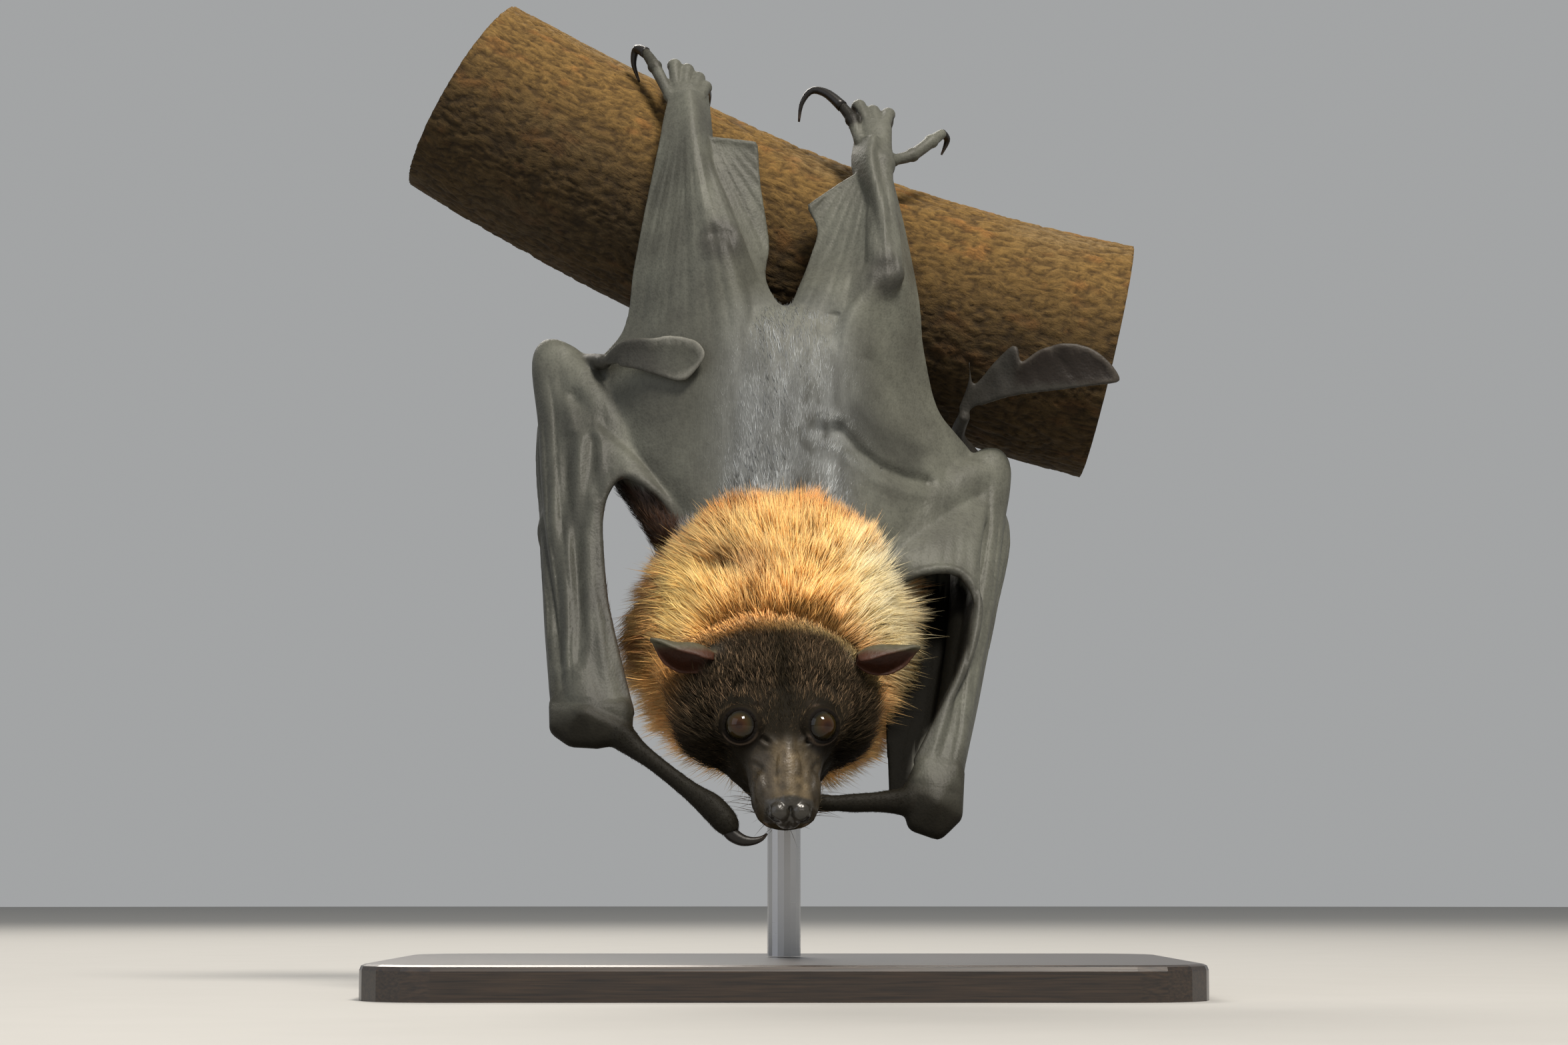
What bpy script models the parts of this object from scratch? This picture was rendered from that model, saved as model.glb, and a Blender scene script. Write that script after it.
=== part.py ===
"""A life-size Lyle's flying fox hanging from a cut length of branch, on a plain display stand.

Row frame: +Z up, the origin is the middle of the stand base's underside, -Y is the side that the
bat's back and face are turned to. The bat hangs head down, so its own right wing is on the -X side.
Sizes in the tables are millimetres; at() and MM turn them into Blender's metres.
"""

import math

import bmesh
import bpy
from mathutils import Matrix, Vector

MM = 0.001
GAP = 0.3 * MM  # clearance kept between touching pieces
WEB_GAP = 0.4 * MM  # and round the side webs, which cross their neighbours at a slant
SHARP_ANGLE = math.radians(40)
THINNEST = 0.2  # least half width of a tube, in millimetres
BALL_DETAIL = 2  # how often a ball's icosahedron is divided
SMOOTH_ROUNDS = 2  # smoothing after meshes are fused

# Driving dimensions, in millimetres.
BASE_SIZE = (280.0, 208.0, 12.0)
BASE_CORNER = 26.0
BASE_BEVEL = 2.0
ROD_RADIUS = 6.0
ROD_Y = 34.0
ROD_DEPTH = 0.75  # its top is this share of the branch's radius below the branch's middle
PERCH_CENTRE = (0.0, 28.0, 267.0)
PERCH_SPAN = 236.0  # from cut end to cut end, measured level
PERCH_RADII = (37.5, 42.5)  # at the high end and at the low end
PERCH_FALL = 0.42  # drop toward +X for each step along X
PERCH_BEND = 0.0008  # the branch curves up by this times x squared
PERCH_SWELL = 0.012  # share by which its thickness comes and goes along it
PERCH_KNOBS = 3  # low ribs round it
PERCH_KNOB = 0.5  # and their height
NOSE_TIP = (1.5, -94.0, 59.0)
HEAD_DROP = math.radians(61.0)  # the muzzle points this far below the horizon
HEAD_TURN = math.radians(9.5)  # and is turned this far toward +X
EYE_RADIUS = 5.4
EYE_PLACE = (13.4, 10.0, 31.0)  # side, up and back from the nose tip

# Joint centres of each wing and leg.
WINGS = {
    "right": {
        "side": -1,
        "shoulder": (-26, -44, 150),
        "elbow": (-79.5, -11, 218),
        "wrist": (-65, -77, 92),
        "finger_knuckle": (-82, -6, 196),
        "rim": [
            (-35, -55, 160),
            (-44, -51, 172),
            (-56, -48, 178),
            (-63, -50, 165),
            (-61.5, -60, 137),
            (-57, -68, 117),
            (-51, -76, 94),
        ],
    },
    "left": {
        "side": 1,
        "shoulder": (26, -44, 144),
        "elbow": (71, -6, 180),
        "wrist": (50.5, -79, 64),
        "finger_knuckle": (75, -4, 160),
        "rim": [
            (36, -55, 140),
            (47, -52, 144),
            (60, -49, 144),
            (66, -51, 134),
            (64, -58, 119),
            (56, -66, 101),
            (44, -76, 78),
        ],
    },
}


def at(x, y, z):
    return Vector((x, y, z)) * MM


def spline(rows, count):
    """Points of a smooth curve through the rows, each a tuple of numbers."""
    rows = [list(map(float, row)) for row in rows]
    last = len(rows) - 1
    found = []
    for k in range(count):
        t = last * k / (count - 1)
        i = min(int(t), last - 1)
        f = t - i
        a = rows[max(i - 1, 0)]
        b = rows[i]
        c = rows[i + 1]
        d = rows[min(i + 2, last)]
        found.append(
            [
                0.5
                * (
                    2 * q
                    + (r - p) * f
                    + (2 * p - 5 * q + 4 * r - s) * f**2
                    + (3 * q - p - 3 * r + s) * f**3
                )
                for p, q, r, s in zip(a, b, c, d, strict=True)
            ]
        )
    return found


def material(name, colour, roughness, metallic=0.0):
    made = bpy.data.materials.new(name)
    made.use_nodes = True
    shader = made.node_tree.nodes["Principled BSDF"]
    shader.inputs["Base Color"].default_value = (*colour, 1.0)
    shader.inputs["Roughness"].default_value = roughness
    shader.inputs["Metallic"].default_value = metallic
    return made


def mesh_from(bm, name):
    bmesh.ops.recalc_face_normals(bm, faces=bm.faces[:])
    mesh = bpy.data.meshes.new(name)
    bm.to_mesh(mesh)
    bm.free()
    return mesh


def tube(stations, sides, rings, flat=(1, 0, 0)):
    """A closed tube. A station is x, y, z, half width along flat, and half depth."""
    rows = spline(stations, rings)
    centres = [Vector(row[:3]) * MM for row in rows]
    bm = bmesh.new()
    loops = []
    for k, row in enumerate(rows):
        ahead = centres[min(k + 1, rings - 1)] - centres[max(k - 1, 0)]
        ahead.normalize()
        wide = Vector(flat) - ahead * ahead.dot(Vector(flat))
        wide.normalize()
        deep = ahead.cross(wide)
        turn = Matrix((wide, deep, ahead)).transposed().to_4x4()
        half_width = max(row[3], THINNEST) * MM
        half_depth = max(row[4], THINNEST) * MM
        size = Matrix.Diagonal((half_width, half_depth, 1, 1))
        ring = bmesh.ops.create_circle(
            bm,
            segments=sides,
            radius=1.0,
            cap_ends=k in (0, rings - 1),
            matrix=Matrix.Translation(centres[k]) @ turn @ size,
        )["verts"]
        loops.append({e for v in ring for e in v.link_edges})
    for first, second in zip(loops, loops[1:], strict=False):
        bmesh.ops.bridge_loops(bm, edges=list(first | second))
    bmesh.ops.triangulate(bm, faces=[f for f in bm.faces if len(f.verts) > 4])
    return mesh_from(bm, "tube")


def sheet(rows, thickness, across, along):
    """A thin closed sheet through rows of points; every row has as many points as the first."""
    width = len(rows[0])
    flat_rows = spline([[c for point in row for c in point] for row in rows], along)
    lines = []
    for row in flat_rows:
        points = [row[3 * k : 3 * k + 3] for k in range(width)]
        lines.append(spline(points, across))
    bm = bmesh.new()
    bmesh.ops.create_grid(bm, x_segments=across - 1, y_segments=along - 1, size=0.5)
    for v in bm.verts:
        i = round((v.co.x + 0.5) * (across - 1))
        j = round((v.co.y + 0.5) * (along - 1))
        v.co = Vector(lines[j][i]) * MM
    bm.normal_update()
    skin = {v: v.normal.copy() for v in bm.verts}
    top = bmesh.ops.duplicate(bm, geom=bm.verts[:] + bm.edges[:] + bm.faces[:])
    copy_of = top["vert_map"]
    for v, normal in skin.items():
        twin = copy_of[v]
        twin.co = v.co + normal * thickness * MM / 2
        v.co = v.co - normal * thickness * MM / 2
    rims = [e for e in bm.edges if e.is_boundary]
    bmesh.ops.bridge_loops(bm, edges=rims)
    return mesh_from(bm, "sheet")


def ball(centre, radii):
    bm = bmesh.new()
    place = Matrix.Translation(Vector(centre) * MM)
    size = Matrix.Diagonal((*(Vector(radii) * MM), 1))
    bmesh.ops.create_icosphere(
        bm, subdivisions=BALL_DETAIL, radius=1.0, matrix=place @ size
    )
    return mesh_from(bm, "ball")


def evaluated(obj):
    bpy.context.view_layer.update()
    graph = bpy.context.evaluated_depsgraph_get()
    return bpy.data.meshes.new_from_object(obj.evaluated_get(graph))


def add_object(name, mesh, finish=None):
    obj = bpy.data.objects.new(name, mesh)
    bpy.context.scene.collection.objects.link(obj)
    if finish is not None:
        mesh.materials.clear()
        mesh.materials.append(finish)
        mesh.shade_smooth()
        mesh.set_sharp_from_angle(angle=SHARP_ANGLE)
    return obj


def largest_shell(mesh):
    """Drops every loose shell of the mesh but the one with the largest box."""
    bm = bmesh.new()
    bm.from_mesh(mesh)
    shells = []
    left = set(bm.verts)
    while left:
        todo = [left.pop()]
        shell = []
        while todo:
            v = todo.pop()
            shell.append(v)
            for e in v.link_edges:
                other = e.other_vert(v)
                if other in left:
                    left.remove(other)
                    todo.append(other)
        shells.append(shell)

    def size(shell):
        low = Vector(map(min, zip(*(v.co for v in shell), strict=True)))
        high = Vector(map(max, zip(*(v.co for v in shell), strict=True)))
        return (high - low).length

    shells.sort(key=size)
    for shell in shells[:-1]:
        bmesh.ops.delete(bm, geom=shell, context="VERTS")
    bm.to_mesh(mesh)
    bm.free()
    return mesh


def fused(meshes, voxel, triangles):
    """One closed mesh of the union of the meshes, with about that many triangles.

    The voxel size is in millimetres, well under the thinnest sheet or rod among the meshes.
    """
    bm = bmesh.new()
    for mesh in meshes:
        bm.from_mesh(mesh)
    joined = bpy.data.meshes.new("joined")
    bm.to_mesh(joined)
    bm.free()
    obj = add_object("working", joined)
    remesh = obj.modifiers.new("remesh", "REMESH")
    remesh.mode = "VOXEL"
    remesh.voxel_size = voxel * MM
    smooth = obj.modifiers.new("smooth", "SMOOTH")
    smooth.factor = 0.5
    smooth.iterations = SMOOTH_ROUNDS
    dense = evaluated(obj)
    obj.modifiers.clear()
    obj.data = dense
    count = sum(len(p.vertices) - 2 for p in dense.polygons)
    thin = obj.modifiers.new("thin", "DECIMATE")
    thin.ratio = min(1.0, triangles / count)
    mesh = evaluated(obj)
    bpy.data.objects.remove(obj)
    return largest_shell(mesh)


def swollen(mesh, by):
    """A copy of a closed mesh whose every face has moved out by that much.

    Each corner moves by the least-squares answer for its faces, which steady keeps solvable,
    and by at most a few times the distance, so that a sharp corner doesn't shoot out.
    """
    steady = 0.02
    farthest = 2.5 * by
    bm = bmesh.new()
    bm.from_mesh(mesh)
    bm.normal_update()
    moves = {}
    for v in bm.verts:
        total = Matrix.Identity(3) * steady
        pull = Vector((0, 0, 0))
        for face in v.link_faces:
            n = face.normal
            total = total + Matrix([n * n.x, n * n.y, n * n.z])
            pull += n * by
        move = total.inverted() @ pull
        moves[v] = move.normalized() * min(move.length, farthest)
    for v, move in moves.items():
        v.co += move
    copy = bpy.data.meshes.new("swollen")
    bm.to_mesh(copy)
    bm.free()
    return copy


def cut(mesh, others, gap):
    """The mesh less its neighbours' whole shapes, each swollen by the gap."""
    obj = add_object("cutting", mesh)
    knives = bpy.data.collections.new("knives")
    bpy.context.scene.collection.children.link(knives)
    for other in others:
        knives.objects.link(bpy.data.objects.new("knife", swollen(other, gap)))
    step = obj.modifiers.new("cut", "BOOLEAN")
    step.operation = "DIFFERENCE"
    step.solver = "EXACT"
    step.operand_type = "COLLECTION"
    step.collection = knives
    result = evaluated(obj)
    for done in [obj, *knives.objects]:
        bpy.data.objects.remove(done)
    bpy.data.collections.remove(knives)
    return largest_shell(result)


def boxes_meet(mesh, other):
    def corners(m):
        points = [v.co for v in m.vertices]
        low = [min(p[k] for p in points) for k in range(3)]
        high = [max(p[k] for p in points) for k in range(3)]
        return low, high

    a, b = corners(mesh)
    c, d = corners(other)
    near = 2 * GAP
    return all(a[k] < d[k] + near and c[k] < b[k] + near for k in range(3))


def build_piece(name, mesh, finish, gap=GAP):
    """Adds a node, cut back from every node that is already there."""
    near = [other for other in WHOLE_SHAPES if boxes_meet(mesh, other)]
    WHOLE_SHAPES.append(mesh.copy())
    if near:
        mesh = cut(mesh, near, gap)
    return add_object(name, mesh, finish)


# ------------------------------------------------------------------ the head's own frame
def head_frame():
    """Turns side, up and back from the nose tip into the row frame, in millimetres."""
    ahead = Vector((0, -math.cos(HEAD_DROP), -math.sin(HEAD_DROP)))
    up = Vector((0, -math.sin(HEAD_DROP), math.cos(HEAD_DROP)))
    side = Vector((1, 0, 0))
    turn = Matrix.Rotation(HEAD_TURN, 3, Vector((0, 0, 1)))
    axes = Matrix((turn @ side, turn @ up, -(turn @ ahead))).transposed()
    return Matrix.Translation(Vector(NOSE_TIP)) @ axes.to_4x4()


def on_head(side, up, back):
    return tuple(head_frame() @ Vector((side, up, back)))


def head_tube(stations, sides, rings):
    """A tube along the head. A station is up, back, half width and half height."""
    rows = [(*on_head(0, up, back), wide, high) for up, back, wide, high in stations]
    flat = head_frame().to_3x3() @ Vector((1, 0, 0))
    return tube(rows, sides, rings, flat)


# ------------------------------------------------------------------ the perch and its stand
def perch_axis(x):
    """A point on the branch's middle line, in millimetres."""
    return (x, PERCH_CENTRE[1], PERCH_CENTRE[2] - PERCH_FALL * x + PERCH_BEND * x * x)


def perch_mesh():
    """A log with flat sawn ends, a little thicker at its low end and gently uneven."""
    rings = 11
    sides = 18
    bm = bmesh.new()
    loops = []
    for k in range(rings):
        share = k / (rings - 1)
        radius = PERCH_RADII[0] + (PERCH_RADII[1] - PERCH_RADII[0]) * share
        radius *= 1 + PERCH_SWELL * math.sin(7.0 * share + 0.6)
        x = (share - 0.5) * PERCH_SPAN
        centre = at(*perch_axis(x))
        slope = math.atan(PERCH_FALL - 2 * PERCH_BEND * x)
        turn = Matrix.Rotation(math.radians(90) + slope, 4, "Y")
        ring = bmesh.ops.create_circle(
            bm,
            segments=sides,
            radius=radius * MM,
            cap_ends=k in (0, rings - 1),
            matrix=Matrix.Translation(centre) @ turn,
        )["verts"]
        for i, v in enumerate(ring):
            rib = math.sin(PERCH_KNOBS * 2 * math.pi * i / sides + 2.2 * share)
            v.co += (v.co - centre).normalized() * PERCH_KNOB * MM * rib
        loops.append({e for v in ring for e in v.link_edges})
    for first, second in zip(loops, loops[1:], strict=False):
        bmesh.ops.bridge_loops(bm, edges=list(first | second))
    return mesh_from(bm, "perch")


def base_mesh():
    """A flat board with round corners and a small bevel along its top edge."""
    wide, deep, high = BASE_SIZE
    bm = bmesh.new()
    bmesh.ops.create_cube(bm, size=1.0)
    bmesh.ops.scale(bm, vec=at(wide, deep, high), verts=bm.verts)
    bmesh.ops.translate(bm, vec=at(0, 0, high / 2), verts=bm.verts)
    upright = [e for e in bm.edges if e.verts[0].co.z != e.verts[1].co.z]
    bmesh.ops.bevel(
        bm, geom=upright, offset=BASE_CORNER * MM, segments=4, affect="EDGES", profile=0.5
    )
    rim = [e for e in bm.edges if min(v.co.z for v in e.verts) > high / 2 * MM]
    bmesh.ops.bevel(
        bm, geom=rim, offset=BASE_BEVEL * MM, segments=2, affect="EDGES", profile=0.5
    )
    return mesh_from(bm, "stand_base")


def rod_mesh():
    """A round rod from the base's top up into the branch, whose underside then trims it."""
    bottom = BASE_SIZE[2] + GAP / MM
    top = PERCH_CENTRE[2] - ROD_DEPTH * PERCH_RADII[0]
    bm = bmesh.new()
    bmesh.ops.create_cone(
        bm,
        cap_ends=True,
        segments=16,
        radius1=ROD_RADIUS * MM,
        radius2=ROD_RADIUS * MM,
        depth=(top - bottom) * MM,
        matrix=Matrix.Translation(at(0, ROD_Y, (top + bottom) / 2)),
    )
    return mesh_from(bm, "stand_rod")


# ------------------------------------------------------------------ body
def mantle_mesh():
    """The neck with the deep collar of long fur that hides it."""
    core = tube(
        [
            (-5, -46, 177, 18, 9),
            (-4, -46, 171, 31, 20),
            (-3, -45, 158, 41, 28),
            (-4, -45, 140, 48, 31),
            (-4, -44, 123, 49, 31),
            (-4, -43, 108, 45, 28),
            (-3, -43, 95, 37, 21),
            (-2, -44, 86, 24, 12),
        ],
        16,
        11,
    )
    return fused([core], 3.0, 240)


def head_meshes():
    skull = head_tube(
        [
            (-1.5, 1, 8.5, 7),
            (-1.5, 5, 11, 9.5),
            (-1.5, 12, 12, 10.5),
            (-1, 20, 14, 11.5),
            (0, 27, 20, 13),
            (0, 34, 27.5, 16),
            (0, 43, 32, 18.5),
            (0, 52, 32, 19.5),
            (-0.5, 61, 27, 17),
            (-1, 70, 15, 10),
        ],
        16,
        14,
    )
    brows = [ball(on_head(s * 11.5, 10.5, 37), (6, 5, 7)) for s in (-1, 1)]
    return [skull, *brows]


def jaw_mesh():
    """The lower jaw, from the chin back to its hinge under the cheek."""
    return head_tube(
        [
            (-8, 3.5, 5, 3.5),
            (-9, 9, 7.5, 4.5),
            (-11, 17, 11.5, 6),
            (-13, 25, 20, 8),
            (-14, 34, 28, 10),
            (-14, 43, 31, 11),
            (-13, 52, 25, 9),
        ],
        12,
        9,
    )


def nose_meshes():
    """The bare pad: two round nostril rims side by side."""
    rims = [ball(on_head(s * 4.1, 1.6, 0.8), (4.3, 4.8, 4.8)) for s in (-1, 1)]
    bridge = ball(on_head(0, 1.5, 2.5), (4, 5, 5))
    return [*rims, bridge]


def ear_mesh(s):
    """A pointed cupped leaf that leans back and out, hollow side down."""
    tip = 48 if s > 0 else 43
    rows = [
        [(s * 20, 11, 51), (s * 24, 14, 56), (s * 26, 8, 62)],
        [(s * 25, 7, 50), (s * 29, 13, 57), (s * 31, 6, 63)],
        [(s * 31, 4, 53), (s * 35, 11, 60), (s * 36, 4, 66)],
        [(s * (tip - 8), 2, 58), (s * (tip - 5), 7, 64), (s * (tip - 5), 2, 68)],
        [(s * tip, 3, 65), (s * (tip + 0.5), 4, 66), (s * tip, 3, 67)],
    ]
    placed = [[on_head(*point) for point in row] for row in rows]
    return fused([sheet(placed, 1.5, 5, 9)], 0.7, 150)


def trunk_mesh(stations, triangles):
    return fused([tube(stations, 16, 9)], 3.0, triangles)


# ------------------------------------------------------------------ wings
def between(a, b, share):
    return tuple(p + (q - p) * share for p, q in zip(a, b, strict=True))


def shifted(point, dx=0, dy=0, dz=0):
    return (point[0] + dx, point[1] + dy, point[2] + dz)


def upper_arm_mesh(w):
    s = w["side"]
    mid = between(w["shoulder"], w["elbow"], 0.5)
    stations = [
        (*w["shoulder"], 13, 13),
        (*shifted(mid, s * 1, -2, 2), 11, 10),
        (*between(w["shoulder"], w["elbow"], 0.85), 9, 8.5),
        (*w["elbow"], 8, 8),
    ]
    return tube(stations, 10, 7)


def forearm_mesh(w):
    s = w["side"]
    elbow, wrist = w["elbow"], w["wrist"]
    stations = [
        (*shifted(elbow, 0, 1, 11), 5, 5),
        (*shifted(elbow, s * 0.5, -1, 5), 9.5, 9),
        (*between(elbow, wrist, 0.15), 9.5, 9),
        (*shifted(between(elbow, wrist, 0.4), s * 2), 8, 7),
        (*shifted(between(elbow, wrist, 0.7), s * 1.5), 6.5, 6),
        (*between(elbow, wrist, 0.93), 8, 6.5),
        (*wrist, 7, 6),
    ]
    return tube(stations, 10, 10)


def wrist_mesh(w):
    """The knob of the wrist, a lump lying across the end of the forearm."""
    s = w["side"]
    c = w["wrist"]
    stations = [
        (*shifted(c, s * 12, 1, 2), 4, 5),
        (*shifted(c, s * 7, 0, -1), 8, 8.5),
        (*shifted(c, 0, -1, -4), 9, 9),
        (*shifted(c, -s * 8, -2, -2.5), 7, 7),
        (*shifted(c, -s * 14, -4, -4), 4.2, 4.4),
    ]
    return tube(stations, 10, 8, (0, 0, 1))


def thumb_stations(w):
    """The thumb's route: the right one slants down to the mouth, the left one runs level."""
    c = w["wrist"]
    if w["side"] < 0:
        steps = [(13, -4, -4, 4.7), (22, -7, -14, 4.1), (32, -10, -25, 4.0)]
        steps += [(40, -13, -33, 5.0), (45, -14, -37, 4.2)]
    else:
        steps = [(-13, -1, 2, 5.2), (-22, -4, 2.5, 4.6), (-30, -6, 2, 4.2)]
        steps += [(-36, -6, 2, 4.6), (-40, -4, 1.5, 3.8)]
    return [(*shifted(c, dx, dy, dz), r, r) for dx, dy, dz, r in steps]


def thumb_claw_stations(w):
    end = thumb_stations(w)[-1]
    if w["side"] < 0:
        steps = [(-2, 0, 1.5, 3.2), (4, -1, -3, 2.6), (9, -1.5, -4.5, 2.0)]
        steps += [(13, -1, -3.5, 1.3), (15, -0.5, -0.5, 0.5)]
    else:
        steps = [(2, -0.5, 0, 3.0), (-3, 3, -2, 2.4), (-6, 7, -5, 1.8)]
        steps += [(-7, 10, -9, 1.2), (-6, 12, -12, 0.5)]
    return [(*shifted(end[:3], dx, dy, dz), r, r) for dx, dy, dz, r in steps]


def finger_routes(w):
    """Middle lines of the four folded fingers, from the wrist up past the elbow."""
    s = w["side"]
    wrist, knuckle, elbow = w["wrist"], w["finger_knuckle"], w["elbow"]
    start = shifted(wrist, s * 5, 4, -2)
    end = shifted(elbow, -s * 2, 18, 8)
    spread = [(5, -6), (6.5, 1), (3.5, 8), (-2.5, 13)]  # outward and back, at mid length
    routes = []
    for out, back in spread:
        third = shifted(between(start, knuckle, 0.38), s * out * 0.7, back * 0.9, 0)
        two_thirds = shifted(between(start, knuckle, 0.72), s * out, back, 0)
        top = shifted(knuckle, s * out * 0.9, back, 4)
        routes.append([start, third, two_thirds, top, end])
    return routes


def fingers_meshes(w):
    """The four long fingers lying along the forearm with their wing skin folded between."""
    s = w["side"]
    routes = finger_routes(w)
    radii = (3.2, 2.6, 2.4, 2.5, 1.8)
    rods = [
        tube([(*p, r, r) for p, r in zip(route, radii, strict=True)], 6, 9)
        for route in routes
    ]
    middle = [between(p, q, 0.5) for p, q in zip(routes[0], routes[3], strict=True)]
    sizes = ((6, 6), (8, 11), (8, 12), (7, 11), (3, 5))
    pad = [(*shifted(p, -s * 2), a, b) for p, (a, b) in zip(middle, sizes, strict=True)]
    return [*rods, tube(pad, 10, 9)]


def arm_web_meshes(w):
    """The skin in front of the arm, between upper arm and forearm, with its free rim."""
    s = w["side"]
    shoulder, elbow, wrist = w["shoulder"], w["elbow"], w["wrist"]
    bone = [
        shifted(shoulder, s * 4, -4, 8),
        shifted(between(shoulder, elbow, 0.5), 0, -5, 4),
        shifted(elbow, 0, -4, -4),
        shifted(between(elbow, wrist, 0.2), 0, -3, 0),
        between(elbow, wrist, 0.45),
        between(elbow, wrist, 0.7),
        between(elbow, wrist, 0.93),
    ]
    rim = w["rim"]
    rows = []
    for p, q in zip(bone, rim, strict=True):
        rows.append([p, shifted(between(p, q, 0.55), 0, -3, 0), q])
    edge = tube([(*p, 1.7, 1.7) for p in rim], 6, 13)
    return [sheet(rows, 1.6, 4, 13), edge]


def side_web_rows(w):
    """Rows from the ankle down to the armpit: inner, middle and outer points."""
    if w["side"] < 0:
        return [
            [(-33, -22, 301), (-38, -21, 300), (-43.5, -19, 299)],
            [(-28, -32, 280), (-38, -26, 279), (-48, -19, 277)],
            [(-21, -42, 258), (-37, -35, 256), (-52, -22, 254)],
            [(-16, -48, 236), (-37, -41, 235), (-55.5, -23, 232)],
            [(-17, -54, 216), (-44, -38, 217), (-69, -16, 217)],
            [(-20, -57, 196), (-46, -37, 198), (-68, -20, 204)],
            [(-23, -58, 176), (-43, -43, 180), (-57, -32, 190)],
            [(-25, -56, 160), (-36, -50, 163), (-42, -43, 170)],
        ]
    return [
        [(30, -22, 291), (33, -21, 290), (36.5, -19, 289)],
        [(34, -32, 271), (38, -27, 270), (42, -20, 268)],
        [(33, -40, 250), (41, -34, 248), (46, -22, 246)],
        [(22, -46, 230), (37, -36, 228), (48.5, -21, 225)],
        [(19, -52, 212), (37, -36, 209), (54, -17, 204)],
        [(20, -56, 194), (43, -34, 192), (66, -11, 189)],
        [(23, -58, 174), (42, -41, 176), (61, -21, 178)],
        [(25, -56, 157), (36, -49, 160), (48, -38, 164)],
    ]


def palm_web_mesh():
    """The left wing's hand skin, which hangs behind the arch of the rim."""
    rows = [
        [(66, -16, 150), (54, -18, 150), (42, -24, 148)],
        [(64, -34, 122), (50, -34, 122), (37, -38, 120)],
        [(60, -50, 96), (47, -50, 95), (34.5, -52, 94)],
        [(52, -66, 72), (44, -66, 71), (35, -66, 70)],
    ]
    return sheet(rows, 1.6, 4, 8)


def wing_tip_meshes(w):
    """The last joint of the wing, a small leaf of skin that stands out past the elbow."""
    if w["side"] < 0:
        upper = [(-67, -20, 222), (-56, -33, 226), (-43, -42, 227.5)]
        upper += [(-32, -48, 223), (-28.5, -50, 217)]
        lower = [(-67, -20, 217), (-58, -30, 214.5), (-48, -37, 212)]
        lower += [(-37, -44, 209.5), (-30, -49, 213)]
        stalk = [(-75, 6, 220, 3, 3), (-72, -8, 223, 3, 3), (-64, -23, 219.5, 2.4, 2.4)]
    else:
        upper = [(60, -14, 204), (77, -22, 222), (84, -25, 217)]
        upper += [(98, -28, 226), (110, -29, 222), (115.5, -29, 214)]
        lower = [(60, -14, 199), (72, -21, 202), (84, -25, 206)]
        lower += [(96, -28, 208.5), (106, -29, 211), (114, -29, 212.5)]
        stalk = [(69, 12, 190, 3, 3), (62, -2, 197, 3, 3), (64, -16, 201, 2.4, 2.4)]
    rows = [[p, between(p, q, 0.5), q] for p, q in zip(upper, lower, strict=True)]
    edge = tube([(*p, 1.2, 1.2) for p in upper], 6, 10)
    return [sheet(rows, 1.8, 4, 9), edge, tube(stalk, 8, 5)]


# ------------------------------------------------------------------ legs
LEGS = {
    "right": {"hip": (-13, -30, 222), "knee": (-21, -41, 260), "ankle": (-36.5, -18, 305)},
    "left": {"hip": (14, -30, 218), "knee": (35, -41, 249), "ankle": (34, -18, 292)},
}

# The route of each toe from its root to the tip of its claw; the big toe comes first.
TOES = {
    "right": [
        [(-44, -10, 322), (-48, -4, 333), (-51, 4, 340)],
        [(-40, -8, 323), (-40, -3, 331), (-38, 10, 331)],
        [(-37, -8, 323), (-36, -2, 330), (-34, 12, 328)],
        [(-34, -9, 321), (-32, -2, 327), (-31, 12, 325.5)],
        [(-33, -11, 318), (-30, -3, 324), (-29, 11, 323)],
    ],
    "left": [
        [(27, -10, 306), (21, -3, 318), (13, 0, 325), (7, 3, 322), (5, 4, 313.5)],
        [(30, -8, 309), (27, -2, 317), (24, 12, 314)],
        [(33, -8, 309), (32, -2, 315), (31, 13, 311)],
        [(36, -9, 307), (37.5, -2, 314), (38, 12, 308.5)],
        [(39, -13, 295), (46, -8, 298), (53, -3, 304), (59, 3, 309.5)],
    ],
}


def thigh_mesh(leg):
    stations = [
        (*leg["hip"], 13, 12),
        (*between(leg["hip"], leg["knee"], 0.5), 11, 9.5),
        (*leg["knee"], 7.5, 7),
    ]
    return tube(stations, 10, 6)


def shin_mesh(leg):
    stations = [
        (*leg["knee"], 7, 6.5),
        (*between(leg["knee"], leg["ankle"], 0.4), 6, 5),
        (*between(leg["knee"], leg["ankle"], 0.8), 4.6, 4),
        (*leg["ankle"], 5, 4.5),
    ]
    return tube(stations, 8, 7)


def foot_meshes(leg, toes):
    """The sole, five toes that bend at the knuckle over the branch, and their claws."""
    ankle = leg["ankle"]
    root = between(toes[2][0], ankle, 0.1)
    made = [
        tube(
            [
                (*ankle, 6.5, 4.4),
                (*between(ankle, root, 0.5), 6.5, 4),
                (*root, 7, 3.6),
                (*shifted(root, 0, 1.5, 3), 5, 3),
            ],
            8,
            6,
        )
    ]
    for route in toes:
        start = between(route[0], root, 0.4)
        radii = [2.3, *[2.4] * (len(route) - 2), 0.9]
        rows = [(*start, 2.6, 2.6)]
        rows += [(*p, r, r) for p, r in zip(route, radii, strict=True)]
        made.append(tube(rows, 6, 2 * len(rows)))
    return made


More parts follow.
